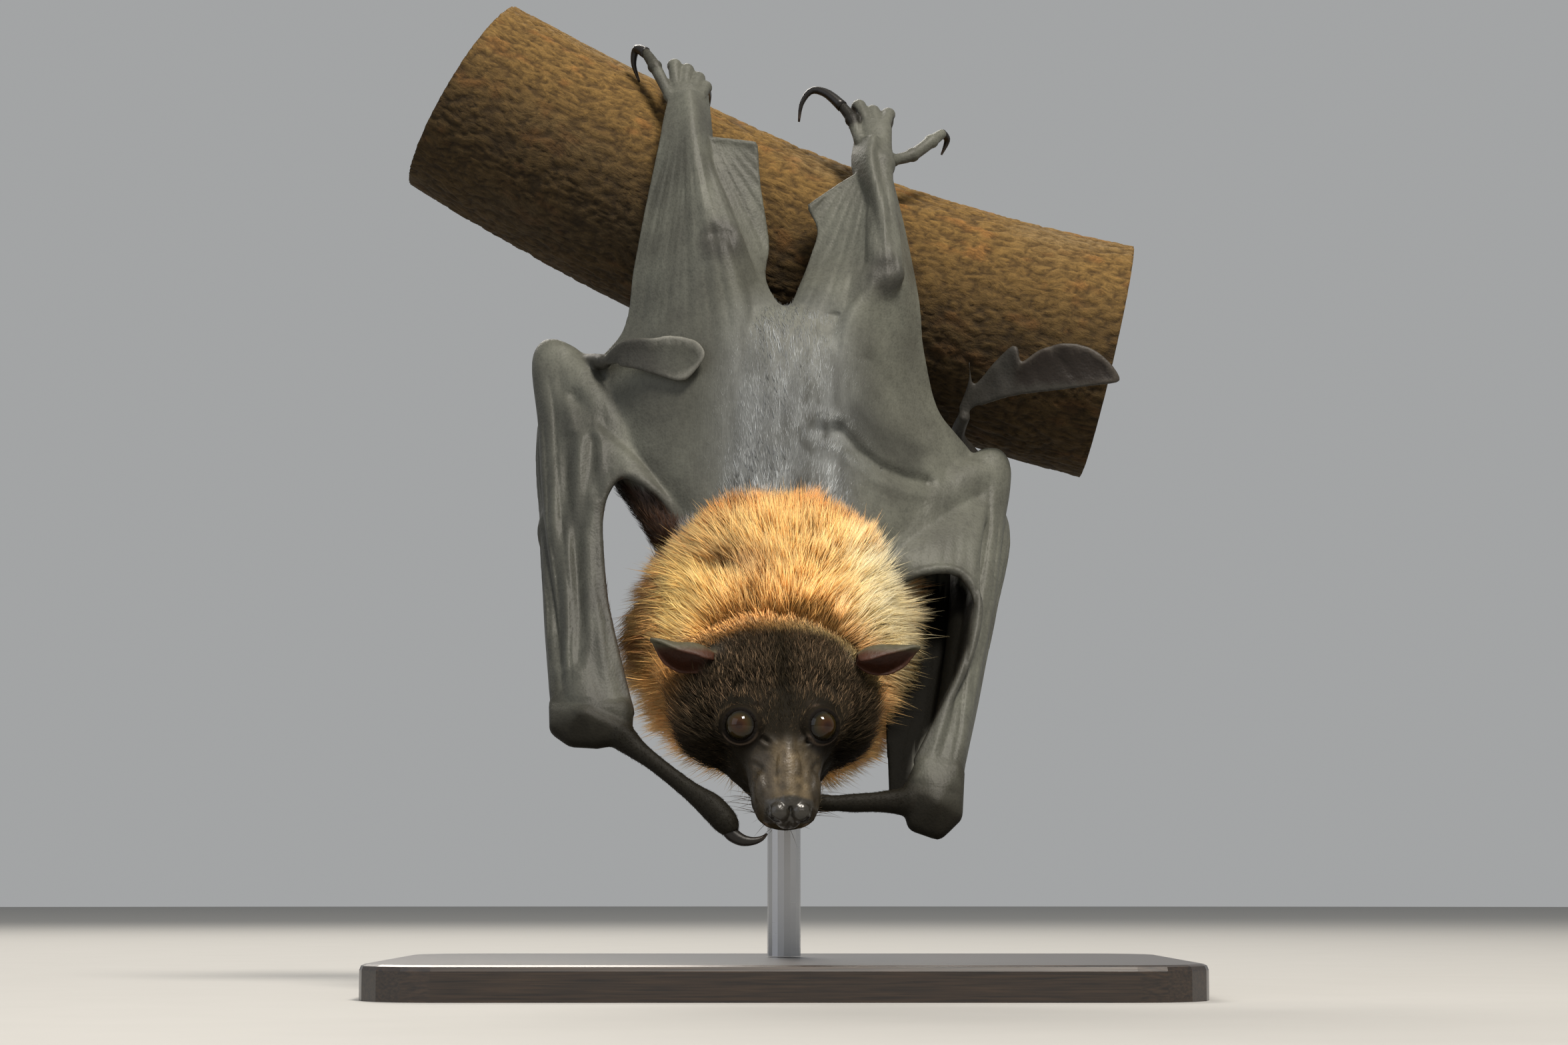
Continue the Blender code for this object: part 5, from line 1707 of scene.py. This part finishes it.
def build_coat(skin, coat):
    tufts = grow_tufts(skin, coat, np.random.default_rng(7))
    is_mantle = tufts.mantle > 0.4
    is_head = ~is_mantle & (tufts.head > 0.5)
    is_body = ~is_mantle & ~is_head
    is_long = is_mantle | (tufts.length > 5.5)
    round_neck = round_axis(tufts.root, *NECK_AXIS, 80, 180)
    round_head = round_axis(tufts.place * (1, -1, 1), 0, 0, 0, 75)
    round_trunk = round_axis(tufts.root, *TRUNK_AXIS, 40, 345)
    golden, dark = ("mantle_fur", mantle_hair_finish()), ("dark_fur", dark_hair_finish())
    kinds = (
        ("mantle_coat", is_mantle, golden, round_neck, True),
        ("ruff_coat", is_head & is_long, dark, round_head, True),
        ("head_coat", is_head & ~is_long, dark, round_head, False),
        ("inner_coat", is_body & is_long, dark, round_trunk, True),
        ("body_coat", is_body & ~is_long, dark, round_trunk, False),
    )
    for name, chosen, (slot, finish), unwrap, bent in kinds:
        rows = np.flatnonzero(chosen)
        triangles = len(rows) * (BENT_TRIANGLES if bent else STRAIGHT_TRIANGLES)
        pieces = max(1, math.ceil(triangles / COAT_PIECE_TRIANGLES))
        for k in range(pieces):
            mesh = tuft_mesh(tufts, rows[k::pieces], unwrap, bent)
            add_piece(f"{name}_{k + 1}", mesh, finish, slot, smooth=bent)


# ------------------------------------------------------------------ finishes
def rgba(text):
    """A hex colour as a socket takes it."""
    return (*linear(hex_colour(text)), 1)


def fill(tree, made, settings):
    """Gives a node its settings. A socket is linked, and so is another node's first output."""
    for key, value in settings.items():
        source = value.outputs[0] if isinstance(value, bpy.types.Node) else value
        if isinstance(source, bpy.types.NodeSocket):
            tree.links.new(source, made.inputs[key])
        elif isinstance(key, str) and hasattr(made, key):
            setattr(made, key, value)
        else:
            made.inputs[key].default_value = value


def node(tree, kind, settings):
    """Adds a node with its settings and links."""
    made = tree.nodes.new("ShaderNode" + kind)
    fill(tree, made, settings)
    return made


def new_material(name):
    """A material and its node tree."""
    made = bpy.data.materials.new(name)
    made.use_nodes = True
    return made, made.node_tree


def set_stops(colour_ramp, stops):
    """Sets the places and hex colours of a colour ramp's stops."""
    elements = colour_ramp.elements
    while len(elements) < len(stops):
        elements.new(0.5)
    for element, (where, colour) in zip(elements, stops, strict=True):
        element.position = where
        element.color = rgba(colour)


def hair_finish(name, settings):
    made, tree = new_material(name)
    tone = node(tree, "Attribute", {"attribute_name": "tone"})
    fill(tree, tree.nodes["Principled BSDF"], {"Base Color": tone, "Roughness": 0.5, **settings})
    return made


def mantle_hair_finish():
    """Keratin hair, long and soft: a silky gloss along each hair and a downy edge to the coat."""
    downy = {"Sheen Weight": 0.2, "Sheen Roughness": 0.5, "Sheen Tint": (*linear(GOLD_TIP), 1)}
    return hair_finish("soft mantle hair", {"Specular IOR Level": 0.4, **downy})


def dark_hair_finish():
    """Short keratin hair, black-brown, with the cool gloss of a sleek coat."""
    sleek = {"Specular IOR Level": 0.13, "Specular Tint": rgba("#EADFC6")}
    return hair_finish("sleek dark hair", sleek)


def hide_finish():
    """Bat hide: matt leathery wing skin with a fine grain, moist nose leather, and short fur's streaks."""
    made, tree = new_material("leathery bat hide")
    tone, hairy, gloss, lie = (
        node(tree, "Attribute", {"attribute_name": name}) for name in ("tone", "hairy", "gloss", "lie")
    )
    hair, moist = hairy.outputs["Fac"], gloss.outputs["Fac"]
    place = node(tree, "TexCoord", {}).outputs["Object"]
    # Pores 0.9 mm apart, drawn coarser than real ones so that they show, and wrinkles 2.6 mm apart.
    pores = node(tree, "TexVoronoi", {"Scale": 1 / (0.9 * MM), "Vector": place})
    wrinkled = {"Scale": 1 / (2.6 * MM), "Detail": 5.0, "Roughness": 0.62, "Vector": place}
    crinkle = node(tree, "TexNoise", wrinkled)
    skin_relief = node(tree, "Math", {"operation": "MULTIPLY_ADD", 0: pores, 1: 0.35, 2: crinkle})
    # Hair streaks that follow the lie of the coat, at the scale that build_skin gives it.
    streaky = {"Scale": 1.0, "Detail": 3.0, "Roughness": 0.6, "Vector": lie.outputs["Vector"]}
    streaks = node(tree, "TexNoise", streaky)
    relief = node(tree, "Mix", {"data_type": "FLOAT", 0: hair, 2: skin_relief, 3: streaks})
    bump = node(tree, "Bump", {"Strength": 0.55, "Distance": 0.35 * MM, "Height": relief})
    # Lighter and darker by a fifth with the grain, as worn leather is.
    fifth = {"From Min": 0.3, "From Max": 0.75, "To Min": 0.78, "To Max": 1.22, "Value": relief}
    shade = node(tree, "MapRange", fifth)
    colour = node(tree, "VectorMath", {"operation": "SCALE", 0: tone, "Scale": shade})
    # Fur and dusty skin throw back little light, the moist nose most.
    rough = node(tree, "MapRange", {"To Min": 0.7, "To Max": 0.3, "Value": moist})
    shine = node(tree, "MapRange", {"To Min": 0.05, "To Max": 0.6, "Value": moist})
    surface = {"Base Color": colour, "Roughness": rough, "Normal": bump, "Specular IOR Level": shine}
    fill(tree, tree.nodes["Principled BSDF"], surface)
    return made


def eye_finish():
    """A living eye: amber-brown iris round a wide pupil, under a wet clear cornea."""
    made, tree = new_material("wet eye")
    angle = node(tree, "Attribute", {"attribute_name": "angle"}).outputs["Fac"]
    place = node(tree, "TexCoord", {}).outputs["Object"]
    # Flecks of the iris 0.7 mm across, which make its rings uneven.
    flecks = node(tree, "TexNoise", {"Scale": 1 / (0.7 * MM), "Detail": 4.0, "Vector": place})
    wobble = node(tree, "Math", {"operation": "MULTIPLY_ADD", 0: flecks, 1: 0.10, 2: angle})
    rings = node(tree, "ValToRGB", {"Fac": wobble})
    stops = [(0.0, "#1A0C05"), (0.18, "#241207"), (0.30, "#301C0A"), (0.46, "#2D210D")]
    stops += [(0.60, "#211C0B"), (0.70, "#0F0C07"), (1.0, "#050403")]
    set_stops(rings.color_ramp, stops)
    cornea = {"Coat Weight": 1.0, "Coat Roughness": 0.02, "Coat IOR": 1.376}
    surface = {"Base Color": rings, "Roughness": 0.6, "Specular IOR Level": 0.0, **cornea}
    fill(tree, tree.nodes["Principled BSDF"], surface)
    return made


def claw_finish():
    """Horn, near black and worn smooth, paler where it thins to the tip."""
    made, tree = new_material("worn black horn")
    tone = node(tree, "Attribute", {"attribute_name": "tone"})
    place = node(tree, "TexCoord", {}).outputs["Object"]
    # Grain of the horn, 0.8 mm across.
    grain = node(tree, "TexNoise", {"Scale": 1 / (0.8 * MM), "Detail": 3.0, "Vector": place})
    shade = node(tree, "MapRange", {"To Min": 0.7, "To Max": 1.35, "Value": grain})
    colour = node(tree, "VectorMath", {"operation": "SCALE", 0: tone, "Scale": shade})
    bump = node(tree, "Bump", {"Strength": 0.3, "Distance": 0.1 * MM, "Height": grain})
    surface = {"Base Color": colour, "Normal": bump, "Roughness": 0.38, "Specular IOR Level": 0.35}
    fill(tree, tree.nodes["Principled BSDF"], surface)
    return made


def bark_finish():
    """Rough scaly bark: grey-brown crests, dark cracks and rusty patches, with no shine."""
    made, tree = new_material("scaly bark")
    tone = node(tree, "Attribute", {"attribute_name": "tone"})
    straight = node(tree, "Attribute", {"attribute_name": "straight"}).outputs["Vector"]
    place = node(tree, "TexCoord", {}).outputs["Object"]
    # Fine scales 1.2 mm across and over twice as long, then grit of 0.7 mm.
    scaly = {"Scale": 1 / (1.2 * MM), "Detail": 3.0, "Roughness": 0.65, "Distortion": 0.6}
    scales = node(tree, "TexNoise", {**scaly, "Vector": straight})
    gritty = {"Scale": 1 / (0.7 * MM), "Detail": 4.0, "Roughness": 0.7, "Vector": place}
    fine = node(tree, "TexNoise", gritty)
    grit = node(tree, "Mix", {"data_type": "FLOAT", 0: 0.35, 2: scales, 3: fine})
    spread = {"From Min": 0.35, "From Max": 0.65, "To Min": 0.55, "To Max": 1.4, "Value": grit}
    shade = node(tree, "MapRange", spread)
    colour = node(tree, "VectorMath", {"operation": "SCALE", 0: tone, "Scale": shade})
    bump = node(tree, "Bump", {"Strength": 0.9, "Distance": 0.8 * MM, "Height": grit})
    surface = {"Base Color": colour, "Normal": bump, "Roughness": 0.92, "Specular IOR Level": 0.25}
    fill(tree, tree.nodes["Principled BSDF"], surface)
    return made


def stained_board_finish():
    """Beech stained near black under satin lacquer: fine long grain that shows as a soft streak."""
    made, tree = new_material("black stained beech")
    place = node(tree, "TexCoord", {}).outputs["Object"]
    # Grain lines 0.8 mm apart that run 25 mm along the board.
    drawn = (1 / (25 * MM), 1 / (0.8 * MM), 1 / (0.8 * MM))
    lie = node(tree, "Mapping", {"Scale": drawn, "Vector": place})
    grain = node(tree, "TexNoise", {"Scale": 1.0, "Detail": 4.0, "Distortion": 0.3, "Vector": lie})
    tones = node(tree, "ValToRGB", {"Fac": grain})
    set_stops(tones.color_ramp, [(0.3, "#15110F"), (0.7, "#35291F")])
    bump = node(tree, "Bump", {"Strength": 0.25, "Distance": 0.1 * MM, "Height": grain})
    lacquer = {"Roughness": 0.38, "Coat Weight": 0.3, "Coat Roughness": 0.25}
    surface = {"Base Color": tones, "Normal": bump, **lacquer}
    fill(tree, tree.nodes["Principled BSDF"], surface)
    return made


def brushed_rod_finish():
    """Stainless steel, brushed round the rod: fine rings that spread its highlight."""
    made, tree = new_material("brushed stainless steel")
    place = node(tree, "TexCoord", {}).outputs["Object"]
    # Brush lines drawn 0.4 mm apart, coarser than the real grit so that they show.
    drawn = (1 / (9 * MM), 1 / (9 * MM), 1 / (0.4 * MM))
    lie = node(tree, "Mapping", {"Scale": drawn, "Vector": place})
    lines = node(tree, "TexNoise", {"Scale": 1.0, "Detail": 2.0, "Vector": lie})
    rough = node(tree, "MapRange", {"To Min": 0.22, "To Max": 0.42, "Value": lines})
    bump = node(tree, "Bump", {"Strength": 0.2, "Distance": 0.05 * MM, "Height": lines})
    steel = {"Base Color": rgba("#B9BABC"), "Metallic": 1.0, "Roughness": rough, "Normal": bump}
    fill(tree, tree.nodes["Principled BSDF"], steel)
    return made


def floor_finish():
    """Matt seamless studio paper, pale warm grey, very slightly mottled."""
    made, tree = new_material("matt studio paper")
    place = node(tree, "TexCoord", {}).outputs["Object"]
    # Mottling 40 mm across.
    mottle = node(tree, "TexNoise", {"Scale": 1 / (40 * MM), "Detail": 3.0, "Vector": place})
    tones = node(tree, "ValToRGB", {"Fac": mottle})
    set_stops(tones.color_ramp, [(0.2, "#9C9B98"), (0.8, "#9F9E9B")])
    fill(tree, tree.nodes["Principled BSDF"], {"Base Color": tones, "Roughness": 0.85})
    return made


# ------------------------------------------------------------------ the pieces
PAIRED = ["arm_web", "ear", "fingers", "foot", "forearm", "shin", "side_web", "tail_web"]
PAIRED += ["thigh", "thumb", "upper_arm", "wing_tip", "wrist"]
FLESH = [f"{kind}_{own}" for kind in PAIRED for own in ("left", "right")]
FLESH += ["chest", "head", "loin", "lower_jaw", "neck", "nose_pad", "palm_web_left"]


def build_skin():
    mesh, forms = skin_mesh()
    coat = plan_coat(mesh, forms)
    set_attribute(mesh, "tone", coat.skin, "FLOAT_COLOR")
    set_attribute(mesh, "hairy", coat.hairy, "FLOAT")
    set_attribute(mesh, "gloss", coat.gloss, "FLOAT")
    # Places for hair streaks 0.4 mm wide, drawn out along the coat: up the body, and back over the head.
    on_the_head = coat.region["head"][:, None] > 0.5
    body_lie = coat.points / (0.45, 0.45, 5.0)
    head_lie = coat.place / (0.4, 0.4, 3.5)
    set_attribute(mesh, "lie", np.where(on_the_head, head_lie, body_lie), "FLOAT_VECTOR")
    build_coat(mesh, coat)
    add_piece("skin", mesh, hide_finish(), "wing_skin", *FLESH)


def build_eyes():
    finish = eye_finish()
    for s, own in ((-1, "right"), (1, "left")):
        way = gaze(s)
        turn = way.to_track_quat("Z", "Y").to_matrix().to_4x4()
        place = Matrix.Translation(eye_centre(s)) @ turn
        bm = bmesh.new()
        bmesh.ops.create_uvsphere(bm, u_segments=64, v_segments=48, radius=EYE_RADIUS, matrix=place)
        mesh = mesh_of(bm, "eye")
        points = read_points(mesh)
        ahead = (points - np.array(eye_centre(s))) / EYE_RADIUS @ np.array(way)
        # The iris's rings, from 0 in the middle of the pupil to 1 at its outer edge.
        angle = np.degrees(np.arccos(np.clip(ahead, -1, 1))) / IRIS_DEGREES
        cornea = ramp(angle, 0.62, 0.2) * CORNEA_RISE
        points += np.array(way) * cornea[:, None]
        mesh.vertices.foreach_set("co", points.ravel())
        set_attribute(mesh, "angle", np.clip(angle, 0, 1), "FLOAT")
        add_piece("eyeball_" + own, mesh, finish, "eye", "eye_" + own)


def paint_claws(mesh, tips):
    """Near-black horn that pales over the last few millimetres of each claw."""
    points = read_points(mesh)
    gap = np.min([distance(points, tip) for tip in tips], axis=0)
    set_attribute(mesh, "tone", mix(HORN_TIP, HORN, ramp(gap, 0.5, 5.0)), "FLOAT_COLOR")


def build_claws():
    finish = claw_finish()
    for own, w in WINGS.items():
        node_name = "thumb_claw_" + own
        route = thumb_claw_route(w)
        bm = bmesh.new()
        tube(bm, route, 16, 24)
        mesh = mesh_of(bm, node_name)
        paint_claws(mesh, [route[-1][:3]])
        add_piece("horn_" + node_name, mesh, finish, "claw", node_name)
    for own, toes in TOES.items():
        bm = bmesh.new()
        for _, claw in toes:
            radii = np.linspace(2.1, 0.4, len(claw)) if len(claw) > 3 else (1.5, 1.15, 0.35)
            round_tube(bm, claw, radii, 12, 14)
        mesh = mesh_of(bm, "toe_claws_" + own)
        paint_claws(mesh, [claw[-1] for _, claw in toes])
        add_piece("toe_claws_" + own, mesh, finish, "claw")


def perch_axis(x):
    """Height of the branch's middle line at x."""
    return PERCH_CENTRE[2] - PERCH_FALL * x + PERCH_BEND * x * x


def bark_tones(straight, relief, broad, angle):
    """Brown bark: dark in the cracks, rusty and grey in patches, and darker underneath with painted shade.
    """
    level = ramp(relief, 0.05, 0.85)
    rust = noise(straight, (11, 6, 6), 58) + 0.6 * noise(straight, (4, 2.5, 2.5), 59)
    tone = mix(BARK_CRACK, BARK_CREST, level)
    tone = mix(tone, BARK_RUST, ramp(rust, 0.35, 0.95) * 0.35 * (0.4 + 0.6 * level))
    tone = mix(tone, BARK_GREY, ramp(broad, 0.1, 0.8) * 0.3 * level)
    # Painted shade: the underside of the branch is up to 45% darker.
    return tone * (1 - 0.45 * ramp(np.cos(angle), 0.75, -0.5))[:, None]


def sawn_wood_tones(sawn, radial):
    """A sawn end: year rings, a little uneven, and darker flecks."""
    ring = 0.5 + 0.5 * np.sin(radial * 2 * math.pi / YEAR_RING + 1.2 * noise(sawn, 14, 60))
    tone = mix(PALE_WOOD, RING_WOOD, ring)
    return mix(tone, WOOD_FLECK, 0.5 * ramp(noise(sawn, 1.6, 61), 0.2, 0.9))


def build_perch():
    """The log: sawn ends, and bark with scales drawn out along the branch."""
    around, along, cap = 280, 220, 38
    rows = along + 2 * cap
    bm = bmesh.new()
    bmesh.ops.create_grid(bm, x_segments=around, y_segments=rows, size=0.5)
    mesh = mesh_of(bm, "perch")
    flat = read_points(mesh)
    angle = (flat[:, 0] + 0.5) * 2 * math.pi
    step = np.round((flat[:, 1] + 0.5) * rows)
    share = np.clip((step - cap) / along, 0, 1)
    # 0 on the bark, and from 0 at the rim of a sawn end to 1 in its middle.
    inward = np.clip(np.maximum((cap - step) / cap, (step - cap - along) / cap), 0, 1)
    radius = PERCH_RADII[0] + (PERCH_RADII[1] - PERCH_RADII[0]) * share
    radius = radius * (1 + 0.012 * np.sin(7.0 * share + 0.6))
    x = (share - 0.5) * PERCH_SPAN
    slope = np.arctan(PERCH_FALL - 2 * PERCH_BEND * x)

    # Places on a straight log, for patterns that meet all the way round.
    straight = np.stack([x / np.cos(slope), radius * np.cos(angle), radius * np.sin(angle)], axis=1)
    drift = straight + np.stack([noise(straight, 9, seed) * 2.2 for seed in (51, 52, 53)], axis=1)
    scales = np.abs(noise(drift, (4.4, 1.7, 1.7), 54))
    small = np.abs(noise(drift, (2.6, 1.2, 1.2), 55))
    broad = noise(straight, (46, 22, 22), 56)
    relief = 1.5 * np.minimum(scales, 0.5) + 0.8 * np.minimum(small, 0.5)
    height = np.minimum(0.4 * broad - 0.6 + relief, 0.5) * ramp(inward, 0.10, 0.0)

    radial = (radius + height) * (1 - inward)
    down, aside = radial * np.cos(angle), radial * np.sin(angle)
    sawn = np.stack([x, down, aside], axis=1)
    wave = 0.15 * noise(sawn, 2.0, 57) * ramp(inward, 0.0, 0.1)
    outward = np.where(step < cap, -1, 1) * wave
    points = np.stack(
        [
            x + outward * np.cos(slope) + down * np.sin(slope),
            PERCH_CENTRE[1] + aside,
            perch_axis(x) - outward * np.sin(slope) + down * np.cos(slope),
        ],
        axis=1,
    )
    mesh.vertices.foreach_set("co", points.ravel())
    bark, wood = bark_tones(straight, relief, broad, angle), sawn_wood_tones(sawn, radial)
    set_attribute(mesh, "tone", mix(bark, wood, ramp(inward, 0.06, 0.12)), "FLOAT_COLOR")
    lay = np.where(inward[:, None] > 0.08, sawn, drift * (0.4, 1.0, 1.0))
    set_attribute(mesh, "straight", lay * MM, "FLOAT_VECTOR")
    bm = bmesh.new()
    bm.from_mesh(mesh)
    bmesh.ops.remove_doubles(bm, verts=bm.verts[:], dist=0.001)
    bmesh.ops.recalc_face_normals(bm, faces=bm.faces[:])
    bm.to_mesh(mesh)
    bm.free()
    add_piece("branch", mesh, bark_finish(), "bark", "perch")


def finish_stand():
    """The stand's own solids keep their shape and take their finishes."""
    for name, finish in (("stand_base", stained_board_finish()), ("stand_rod", brushed_rod_finish())):
        mesh = bpy.data.objects[name].data
        mesh.materials.clear()
        mesh.materials.append(finish)


# ------------------------------------------------------------------ floor, lights and camera
def build_floor():
    bm = bmesh.new()
    bmesh.ops.create_circle(bm, cap_ends=True, segments=96, radius=FLOOR_RADIUS)
    mesh = mesh_of(bm, "floor")
    mesh.materials.append(floor_finish())
    floor = bpy.data.objects.new("floor", mesh)
    bpy.context.scene.collection.objects.link(floor)


def soft_light(name, place, size, power, colour):
    """A square softbox that faces the bat's back."""
    light = bpy.data.lights.new(name, "AREA")
    light.size = size
    light.energy = power
    light.color = linear(hex_colour(colour))
    obj = bpy.data.objects.new(name, light)
    bpy.context.scene.collection.objects.link(obj)
    obj.location = place
    obj.rotation_euler = (LIGHT_AIM - Vector(place)).to_track_quat("-Z", "Y").to_euler()


def light_studio():
    """A high key light on the right, a broad fill on the left, a light behind and a pale sky."""
    soft_light("high key", (0.62, -1.35, 2.2), 0.62, 98, "#FFF7EC")
    soft_light("left fill", (-2.4, -1.9, 1.5), 2.6, 20, "#F2F5FF")
    soft_light("back rim", (-0.5, 1.5, 1.5), 1.0, 32, "#FFF8EE")
    world = bpy.data.worlds.new("studio")
    bpy.context.scene.world = world
    world.use_nodes = True
    sky = world.node_tree.nodes["Background"]
    sky.inputs["Color"].default_value = rgba("#F0F2F3")
    sky.inputs["Strength"].default_value = 0.42
    bpy.context.scene.view_settings.view_transform = "Standard"


def place_camera():
    """A camera just above the floor that looks up a little at the hanging bat."""
    camera = bpy.data.cameras.new("camera")
    camera.lens = 80
    camera.sensor_width = 36
    obj = bpy.data.objects.new("camera", camera)
    bpy.context.scene.collection.objects.link(obj)
    obj.location = CAMERA_PLACE
    obj.rotation_euler = (math.radians(90) + CAMERA_RISE, 0, 0)
    bpy.context.scene.camera = obj


light_studio()
place_camera()
build_floor()
finish_stand()
build_perch()
build_eyes()
build_claws()
build_skin()
